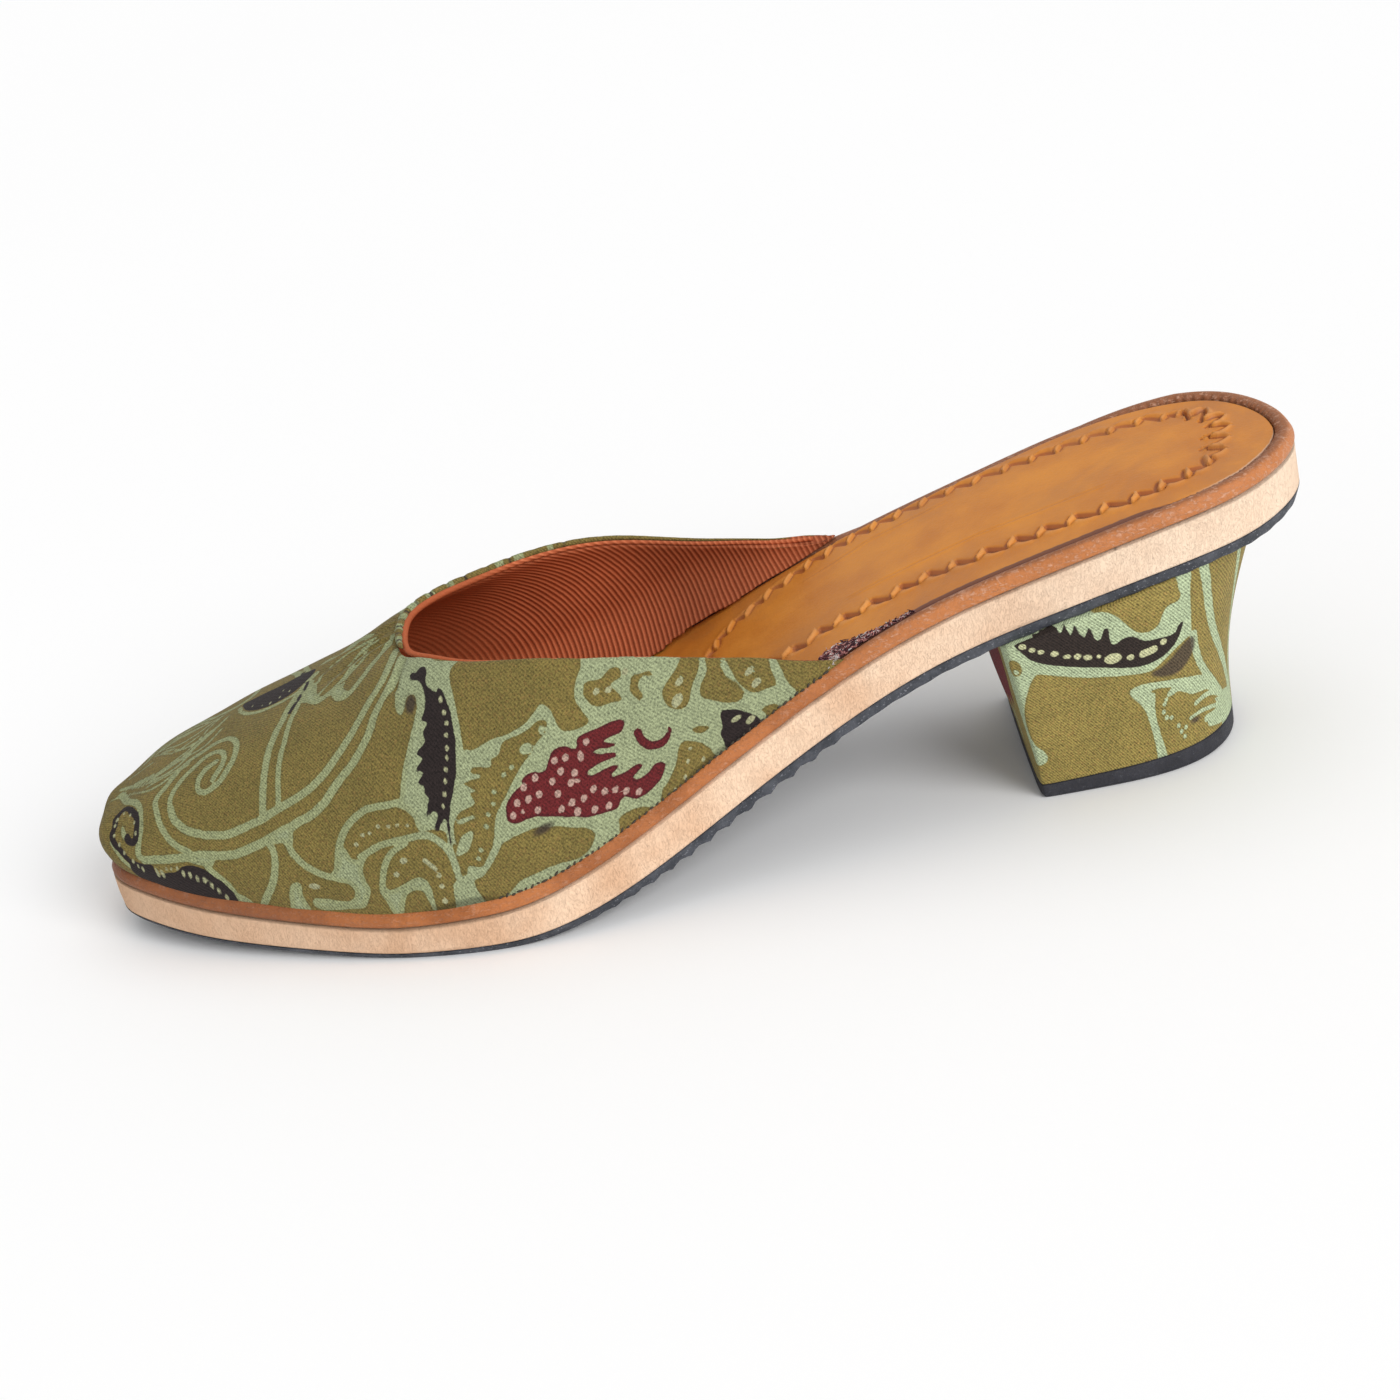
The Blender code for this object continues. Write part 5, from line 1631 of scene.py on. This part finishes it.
def legs(text):
    """The legs of a zigzag, each as its two ends."""
    corners = path(text)
    return list(zip(corners, corners[1:]))


def tool_border(text, long_leg, deep, wide, lift):
    """Every second leg is a long one, starting with leg 0 or leg 1."""
    for number, (start, end) in enumerate(legs(text)):
        if number % 2 == long_leg:
            gouge(start, end, deep * 0.85, wide * 1.7, lift * 0.8)
        else:
            gouge(start, end, deep, wide * 0.9, lift, bead=True)


tool_border(NEAR_BORDER, long_leg=0, deep=1.05, wide=0.55, lift=0.42)
tool_border(FAR_BORDER, long_leg=1, deep=0.70, wide=0.46, lift=0.30)
for start, end in legs(RAYS):
    gouge(start, end, deep=1.05, wide=0.50, lift=0.60)
for text in CREASES:
    for start, end in legs(text):
        gouge(start, end, deep=0.16, wide=0.40, lift=0.16)
print("deepest stroke is", round(float(-press.min()), 2), "mm")

# %% [markdown]
# ## Shaping the cover
# The strokes, a chamfer round the rim and a slight waviness are added up and laid square to the slope of the
# shoe. Then the outline is pulled down into walls, and its two long sides are bridged to close the underside.

# %% Finish the cover's shape
COVER_DEPTH = 2.4
edge_drop = -CHAMFER * np.clip(1 - inset / 1.3, 0, 1) ** 2
wave = 0.12 * np.sin(station / 9.0) * np.sin(plan[:, 1] / 7.0)
raised = edge_drop + press + wave * np.clip(inset / 4, 0, 1)
slope = np.gradient(np.interp(rows, inner_side[:, 0], inner_side[:, 2]), rows)[row]
tilt = 1 / np.sqrt(1 + slope**2)
lifted = np.stack([station - slope * tilt * raised + TOE_END, plan[:, 1], level + tilt * raised], 1)
for corner, place in zip(grid.verts, lifted):
    corner.co = Vector(place) * MM
press_layer = grid.verts.layers.float.new("press")
inset_layer = grid.verts.layers.float.new("inset")
tip_layer = grid.verts.layers.int.new("tip")
for index, corner in enumerate(grid.verts):
    corner[press_layer] = press[index]
    corner[inset_layer] = inset[index]
    corner[tip_layer] = int(row[index] in (0, len(rows) - 1))
boundary = [edge for edge in grid.edges if edge.is_boundary]
walls = bmesh.ops.extrude_edge_only(grid, edges=boundary)["geom"]
lower = [item for item in walls if isinstance(item, bmesh.types.BMVert)]
bmesh.ops.translate(grid, verts=lower, vec=(0.0, 0.0, -COVER_DEPTH * MM))
between = []
for at_heel in (False, True):
    end_row = [corner for corner in lower if corner[tip_layer] and (corner.co.x > 0) == at_heel]
    between += sorted(end_row, key=lambda corner: corner.co.y)[1:-1]
bmesh.ops.dissolve_verts(grid, verts=between)
long_edges = [edge for edge in grid.edges
              if edge.is_boundary and not all(corner[tip_layer] for corner in edge.verts)]
bmesh.ops.bridge_loops(grid, edges=long_edges)
bmesh.ops.recalc_face_normals(grid, faces=grid.faces)
print("open edges left:", sum(edge.is_boundary for edge in grid.edges))
insole_mesh = bpy.data.meshes.new("insole")
grid.to_mesh(insole_mesh)
grid.free()

# %% [markdown]
# ## Tan leather
# Vegetable-tanned leather burns dark where a damp stroke goes deep, and shade is painted there too; beside it
# it is rubbed light and given a painted highlight. Round the rim, where it is sunk beside the bead, it is
# given painted shade, but for a pale cut edge at the heel.

# %% Insole finish
TAN, TAN_LIGHT = (0.565, 0.192, 0.024), (0.700, 0.266, 0.036)
BURNT_AND_SHADED, BURNT_DEEP_AND_SHADED = (0.330, 0.085, 0.030), (0.110, 0.030, 0.016)
RUBBED_AND_HIGHLIT, BROWNED = (0.800, 0.370, 0.110), (0.420, 0.165, 0.055)
CUT_EDGE, SUNK_EDGE_SHADE, SHADED_EDGE = (0.700, 0.500, 0.360), (0.120, 0.042, 0.038), (0.105, 0.038, 0.034)
CLEAR_OF_CLOTH = [215, 228], [0, 3]  # behind these stations the inner edge is shaded no more


def make_insole_leather():
    """Tan leather, burnt brown with painted shade where the tool went in, rubbed lighter with a painted
    highlight beside it.
    """
    leather = Finish("insole_leather", Roughness=0.42, Specular_IOR_Level=0.30)
    press = leather.attribute("press")
    fine = leather.noise(0.45, 3.0, 0.7)
    cloud = leather.noise(20.0, 4.0, 0.6)
    pores = leather.cells(0.9)
    colour = leather.mix(leather.step(cloud, 0.3, 0.7), TAN, TAN_LIGHT)
    # Painted shade in the grooves, over the burn, and a painted highlight on the raised leather, over the
    # rubbing.
    colour = leather.mix(leather.step(press, -0.05, -0.35) * 0.70, colour, BURNT_AND_SHADED)
    colour = leather.mix(leather.step(press, -0.55, -0.95) * 0.75, colour, BURNT_DEEP_AND_SHADED)
    colour = leather.mix(leather.step(press, 0.10, 0.45) * 0.45, colour, RUBBED_AND_HIGHLIT)
    # Handling has browned the leather in patches.
    stain = leather.step(leather.noise(26.0, 4.0, 0.6, twist=0.6), 0.46, 0.66)
    colour = leather.mix(stain * 0.40, colour, BROWNED)
    carried = leather.attribute("inset")
    inset = carried + (leather.noise(1.6, 3.0) - 0.5) * 0.7
    heel_end = leather.step(leather.attribute("station"), 222.0, 234.0)
    colour = leather.mix(leather.step(inset, 1.3, 0.8) * heel_end * 0.7, colour, CUT_EDGE)
    # Painted shade round the rim, where it is sunk beside the bead.
    colour = leather.mix(leather.step(inset, 0.85, 0.45) * 0.85, colour, SUNK_EDGE_SHADE)
    shaded = leather.step(leather.attribute("near_inset") + (inset - carried), 2.1, 1.6)
    colour = leather.mix(shaded * 0.85, colour, SHADED_EDGE)
    leather.show(
        Base_Color=leather.tint(colour, 0.9 + fine * 0.2 - leather.step(pores, 0.2, 0.0) * 0.12),
        Roughness=0.34 + fine * 0.16 + leather.step(cloud, 0.4, 0.8) * 0.1,
    )
    leather.bump(fine * 0.6 + pores * 0.4, 0.08)
    return leather


insole_leather = make_insole_leather()
places = points(insole_mesh)
station_there = places[:, 0] - TOE_END
carry(insole_mesh, "station", station_there)
from_low_side = places[:, 1] - np.interp(station_there, rows, low_side[across == 0])
carry(insole_mesh, "near_inset", from_low_side + np.interp(station_there, *CLEAR_OF_CLOTH))
show(insole_mesh, "insole_cover", [insole_leather], "insole", "insole")

# %% [markdown]
# ## Heel block
# The block is covered in the same batik as the upper. Its chart is a strip: millimetres round the block from
# the middle of the back, with the inner side positive, and height over the ground. The lengths are measured
# round the block half way up.

# %% Chart of the heel
HEEL_AXIS = 85.0
HALF_WAY = 22.0
BELT, SECTOR = 3, 4  # millimetres over and under half way, and degrees to each side of a mark
heel_mesh = softened("heel", 50)
split_faces(heel_mesh, lambda face: abs(face.normal.z) < 0.8)
heel_places = points(heel_mesh)


def heel_angle(places):
    """Degrees round the block's axis: 0 at the back and 90 on the inner side."""
    return np.degrees(np.arctan2(-places[:, 1], places[:, 0] - HEEL_AXIS))


belt = heel_places[np.abs(heel_places[:, 2] - HALF_WAY) < BELT]
belt_angle, belt_reach = heel_angle(belt), np.hypot(belt[:, 1], belt[:, 0] - HEEL_AXIS)
marks = np.arange(-180, 181, 3.0)
reach = np.array([belt_reach[np.abs((belt_angle - at + 180) % 360 - 180) < SECTOR].mean() for at in marks])
ring = np.stack([reach * np.cos(np.radians(marks)), reach * np.sin(np.radians(marks))], 1)
lengths = np.concatenate([[0], np.cumsum(np.hypot(*np.diff(ring, axis=0).T))])
lengths = lengths - np.interp(0, marks, lengths)
round_heel = np.interp(heel_angle(heel_places), marks, lengths)
print("the cloth is", round(float(np.ptp(lengths))), "mm long round the heel")

# %% [markdown]
# ## The motifs of the heel
# A spiny pod over a leaf on the inner side, vines up the back and a crimson flower at the breast. The outer
# side repeats them mirrored, a little shifted, as a second cut from the same cloth would.

# %% Motifs of the heel
HEEL_MINT = [
    "26,46 28.6,46 28,42 27.6,40.2 28.2,39 30,38.6 31,37.3 31.6,35.4 32.8,34.2 34.6,34 36.2,34.8 37.4,36.4"
    " 38.6,38.4 40,40 41.6,41 44,41.2 47,40.4 52,39.8 57,39 61,38.5 61.4,34 61.3,30 61.3,25 61.2,20 61,15"
    " 60.6,10.5 60.4,8.4 59.5,7.8 58.2,8.4 57.7,9.6 58,11 59,12.5 59.8,14.5 60,17 59.7,20 58.8,23 57.7,26"
    " 56.5,28.3 55.3,29.6 54,29.4 52,28.7 49,27.5 46,26.6 43,26 40,25.4 37,24.9 34.5,24.7 33,25 31.5,26"
    " 29.5,27.4 27.5,28.8 25.8,29.7 24.8,29.6 24.2,27 25,31 25.4,36 25.7,40",
    "6,4 5.5,6 8,9.6 10.5,11 14.8,12.4 17,15.5 19,17.5 22,19.2 25,20.2 28,20.9 31,21.5 34,22 36.5,22"
    " 38.1,21.4 38.2,20.2 37.3,18.8 36.2,17.3 35.3,15.2 34.6,12 34,8.5 33.6,5 33.4,3 31.3,3 31.5,5 32.2,8"
    " 32.8,11 33.3,14 33.3,17 33.2,19 34.2,20 33,20.2 31,19.8 29.5,19.4 30.4,18.4 30.5,17.6 29.5,17.5"
    " 28,18 26.5,17.2 24.5,15.9 22,15.5 20,15 17.6,13.2 15.6,11.4 17.4,11.6 16,9.6 17.4,9.3 15.8,8 18,7"
    " 14.7,5 14.5,4",
]
HEEL_MINT_STROKES = [
    Stroke(1.9, "23.6,46 22.6,42 21.8,38 20.9,34 19.6,30 18,26.5 16.2,23.5 14,20 12,17 10,13.5 8.5,10 7.3,7"
           " 6.5,3"),
    Stroke(1.7, "24.6,30 23.6,25.5 22.2,22 20.2,18.8 17.8,15.8 15.5,13 13.5,10.5 11.5,8 10,6 9,3"),
    Stroke(1.4, "14.5,46 13,40 11.5,34 10,28 8.8,22 7.8,16 7,11 6.6,7"),
    Stroke(1.1, "15,11.6 18,13.4 21,14 23.5,13.4"), Stroke(0.9, "15,9.6 18.5,10.4 22,11 25,10.6"),
    Stroke(1.6, "14,7.6 17.5,8.4 20.5,8.6"), Stroke(2.4, "12,6 16,6.6 19,7.4"),
    Stroke(1.5, "4,46 3.2,38 2.8,30 2.2,22 1.2,14 0.4,7"), Stroke(1.2, "-3.4,42 -2.8,33 -2.2,24 -0.8,14"),
    Stroke(1.3, "72,30 70,24 69,18 70,12 73,8"), Stroke(1.0, "80,34 79,26 82,18 86,12"),
]
HEEL_DARK = [
    "27,33.9 28,33.3 28.4,32.2 29.5,31.7 31.5,31.8 33.5,31.9 35,32.4 36.3,33.5 37.5,34 38.8,33.8 39.8,33"
    " 40.6,33.2 40.9,35 40.9,37 41.4,37.3 42,36.4 42.5,35 43.2,34.7 43.6,35.6 43.8,37.4 44.3,38.1 44.8,37"
    " 45.2,36.1 45.8,36.2 46,37.8 46.5,39.4 46.9,38.6 47.2,37.3 47.6,37.4 48,38.8 48.3,40.2 48.7,39.4"
    " 49,38.3 49.4,38.5 49.8,40 51.5,39.4 54,38.9 57,38.1 57.6,37.3 57,36 56.2,34.5 55.5,33.3 54,32.2"
    " 52,31.2 50,30.4 47,29.4 44,28.5 41,27.6 38,26.8 35.5,26.4 33.5,26.6 31.5,27.2 29.8,28.2 28.6,29.4"
    " 27.7,31 27.2,32.4",
]
HEEL_SHADOW = [
    "24.6,29.3 25.8,29.2 27.2,28.2 28.6,27 30,25.8 31.6,24.8 33.3,24.4 33.6,23.8 32.5,23 30.5,22.4 28.5,22.3"
    " 26.8,23 25.3,24.5 24.3,26.5 24.2,28.2",
]
HEEL_CRIMSON = [
    "63.5,36 66,33 68,35.5 70.5,31 73.5,33 76,28 79,29 82,23 84,17 81,18 79,14 76.5,18 74,15 71.5,20"
    " 69,17 67,22 65,20 64,25 63.2,30",
    "5.6,19 6.6,23 6.2,27 5,23.6 4.4,28 3.4,23 2.6,19 3.6,15 5,13.6",
]
HEEL_PALE = [
    Spots(0.7, 0.7, "31,30.7 37.5,29.2"), Spots(1.6, 1.2, "40.8,29.8"), Spots(0.45, 0.5, "43.3,31"),
    Spots(0.7, 0.75, "45.3,31.3 47.1,32 51,33.7 56.2,36.8"), Spots(0.6, 0.6, "49,32.5 53.3,34.7 54.7,35.6"),
]
HEEL_CAPSULES = [Stroke(1.7, "33,29.6 35,29.2")]
HEEL_OVALS = [Spots(1.1, 2.0, "58.6,32")]
HEEL_FLECKS = [
    Spots(0.45, 0.55, "58.5,31 30.8,17 31.5,14.3 31.2,16 30.9,12.8 29.8,12.4 28.2,10 27.6,8.4 26.8,7 26.4,9"),
]
HEEL_SMUDGES = [Spots(1.2, 0.6, "23.8,9.7")]
HEEL_PRINT = [
    ("mint", Cloth.area, HEEL_MINT), ("mint", Cloth.bite, HEEL_OVALS),
    ("mint", Cloth.stroke, HEEL_MINT_STROKES), ("mint", Cloth.spots, HEEL_FLECKS),
    ("dark", Cloth.crisp_area, HEEL_DARK), ("dusk", Cloth.area, HEEL_SHADOW),
    ("crimson", Cloth.crisp_area, HEEL_CRIMSON), ("pale", Cloth.stroke, HEEL_CAPSULES),
    ("pale", Cloth.spots, HEEL_PALE), ("dusk", Cloth.spots, HEEL_SMUDGES),
]
print(sum(len(shapes) for _, _, shapes in HEEL_PRINT), "motifs charted")

# %% Print the motifs on the heel
OUTER_SHIFT, OUTER_LIFT = 4.0, 1.5
BACK_SEAM = -1.0  # where the mirrored cut begins
HEEL_MINT_DYE, HEEL_DARK_DYE = (0.326, 0.384, 0.237), (0.025, 0.018, 0.015)
heel_fields = printed(Cloth(round_heel, heel_places[:, 2], 1.0, 1.0), HEEL_PRINT)
outer_cloth = Cloth(-round_heel + OUTER_SHIFT, heel_places[:, 2] + OUTER_LIFT, 1.0, 1.0)
outer_fields = printed(outer_cloth, HEEL_PRINT)
for name in heel_fields:
    carry(heel_mesh, name, np.where(round_heel < BACK_SEAM, outer_fields[name], heel_fields[name]))
carry(heel_mesh, "warp", heel_places[:, 2])
carry(heel_mesh, "weft", -round_heel)
carry(heel_mesh, "foot", np.full(len(round_heel), FAR))
# The heel's copy of the batik is painted lighter than the upper's, as light falling on the heel.
heel_batik = batik(
    "batik_heel", strength=1.34, twill_depth=0.46,
    mint_dye=HEEL_MINT_DYE, thin_mint=HEEL_MINT_DYE, dark_dye=HEEL_DARK_DYE,
)
show(heel_mesh, "heel_cloth", [heel_batik], "heel", "heel")

# %% [markdown]
# ## Frayed hem
# Behind the end of the inner wall the raw edge of the cloth runs on for a little way between the insole and
# the rand, and it has frayed. It is a tongue laid as a grid between two lines and given its thickness, with
# loose threads on it, each a small ball drawn long. A dye number tells the finish which thread is which.

# %% Lay the tongue and scatter its threads
HEM_STATION = [150, 152.5, 155, 158, 161, 164.5, 169.5]
HEM_LOW_Y = [-28.5, -28, -27, -25.9, -25.1, -24.5, -23.8]
HEM_LOW_Z = [40.5, 41, 41.7, 42.6, 43.5, 44.5, 46.1]
HEM_TOP_Y = [-26.4, -25.2, -23.9, -23.8, -23.9, -24, -23.7]
HEM_TOP_Z = [41.8, 42.3, 42.7, 43.1, 43.8, 44.7, 46.2]
HEM_ROWS, HEM_COLUMNS = 60, 8
HEM_THICK = 0.3
FRAY_THREADS, TIP_THREADS = 190, 46
ON_TONGUE = -1.0  # the dye number of the tongue itself


def on_hem(along, over):
    """A place on the tongue, from 0 to 1 along it and from its lower line to its upper line."""
    at = HEM_STATION[0] + along * (HEM_STATION[-1] - HEM_STATION[0])
    low = np.array([np.interp(at, HEM_STATION, HEM_LOW_Y), np.interp(at, HEM_STATION, HEM_LOW_Z)])
    top = np.array([np.interp(at, HEM_STATION, HEM_TOP_Y), np.interp(at, HEM_STATION, HEM_TOP_Z)])
    y, z = low + (top - low) * over
    ruffle = 0.22 * math.sin(along * 61 + over * 4) + 0.16 * math.sin(along * 137 - over * 7)
    return Vector((at + TOE_END, y, z + 0.25 * math.sin(over * math.pi) + ruffle * (1 - along))) * MM


hem = bmesh.new()
bmesh.ops.create_grid(hem, x_segments=HEM_ROWS, y_segments=HEM_COLUMNS, size=1.0)
for corner in hem.verts:
    corner.co = on_hem((corner.co.x + 1) / 2, (corner.co.y + 1) / 2)
bmesh.ops.recalc_face_normals(hem, faces=hem.faces)
bmesh.ops.solidify(hem, geom=hem.faces[:], thickness=HEM_THICK * MM)
bmesh.ops.recalc_face_normals(hem, faces=hem.faces)
dye = [ON_TONGUE] * len(hem.verts)
scatter = np.random.RandomState(11)
for number in range(FRAY_THREADS + TIP_THREADS):
    at_tip = number >= FRAY_THREADS
    along = scatter.uniform(0.08, 0.17) if at_tip else scatter.uniform(0.04, 0.98)
    place = on_hem(along, scatter.uniform(-0.25, 0.15) if at_tip else scatter.uniform(0.0, 1.0))
    length, thick = scatter.uniform(0.35, 1.1), scatter.uniform(0.07, 0.15)
    yaw, pitch = scatter.uniform(-1.6, 1.6), scatter.uniform(-0.7, 0.3)
    turned = Matrix.Rotation(yaw, 4, "Z") @ Matrix.Rotation(pitch, 4, "Y")
    long = Matrix.Diagonal((length, thick, thick, 1.0))
    lift = Vector((0.0, 0.0, scatter.uniform(0.05, 0.35))) * MM
    there = Matrix.Translation(place + lift)
    bmesh.ops.create_uvsphere(hem, u_segments=5, v_segments=5, radius=MM, matrix=there @ turned @ long)
    shade = scatter.uniform(0.55, 1.0) if at_tip else scatter.uniform(0.0, 1.0)
    dye += [shade] * (len(hem.verts) - len(dye))
hem_mesh = bpy.data.meshes.new("hem")
hem.to_mesh(hem_mesh)
hem.free()
carry(hem_mesh, "dye", np.array(dye))
print(FRAY_THREADS + TIP_THREADS, "loose threads")

# %% [markdown]
# ## Frayed cotton
# The tongue is mottled with wine, plum and bare cotton by noise, and each loose thread takes one of the same
# dyes from its dye number.

# %% Frayed finish
WINE, PLUM = (0.125, 0.034, 0.040), (0.045, 0.018, 0.026)
PINKISH, UNDYED = (0.560, 0.255, 0.230), (0.560, 0.520, 0.500)
frayed = Finish("frayed_cotton", Roughness=0.9, Specular_IOR_Level=0.15)
fibre = frayed.noise(0.5, 3.0, 0.7, twist=1.0)
weave = frayed.noise(0.9, 3.0, 0.7, stretch=(0.6, 1.6, 1.0))
tongue = frayed.mix(frayed.step(weave, 0.40, 0.56), PLUM, WINE)
tongue = frayed.mix(frayed.step(weave, 0.52, 0.60), tongue, PINKISH)
tongue = frayed.mix(frayed.step(fibre, 0.62, 0.70) * 0.8, tongue, UNDYED)
dyed_thread = frayed.attribute("dye")
thread = frayed.mix(frayed.step(dyed_thread, 0.32, 0.36), PLUM, WINE)
thread = frayed.mix(frayed.step(dyed_thread, 0.50, 0.55), thread, PINKISH)
thread = frayed.mix(frayed.step(dyed_thread, 0.72, 0.76), thread, UNDYED)
colour = frayed.mix(frayed.step(dyed_thread, -0.5, -0.4), tongue, thread)
frayed.show(Base_Color=frayed.tint(colour, 0.75 + fibre * 0.5))
frayed.bump(fibre, 0.3)
show(hem_mesh, "frayed_hem", [frayed], "upper")

# %% [markdown]
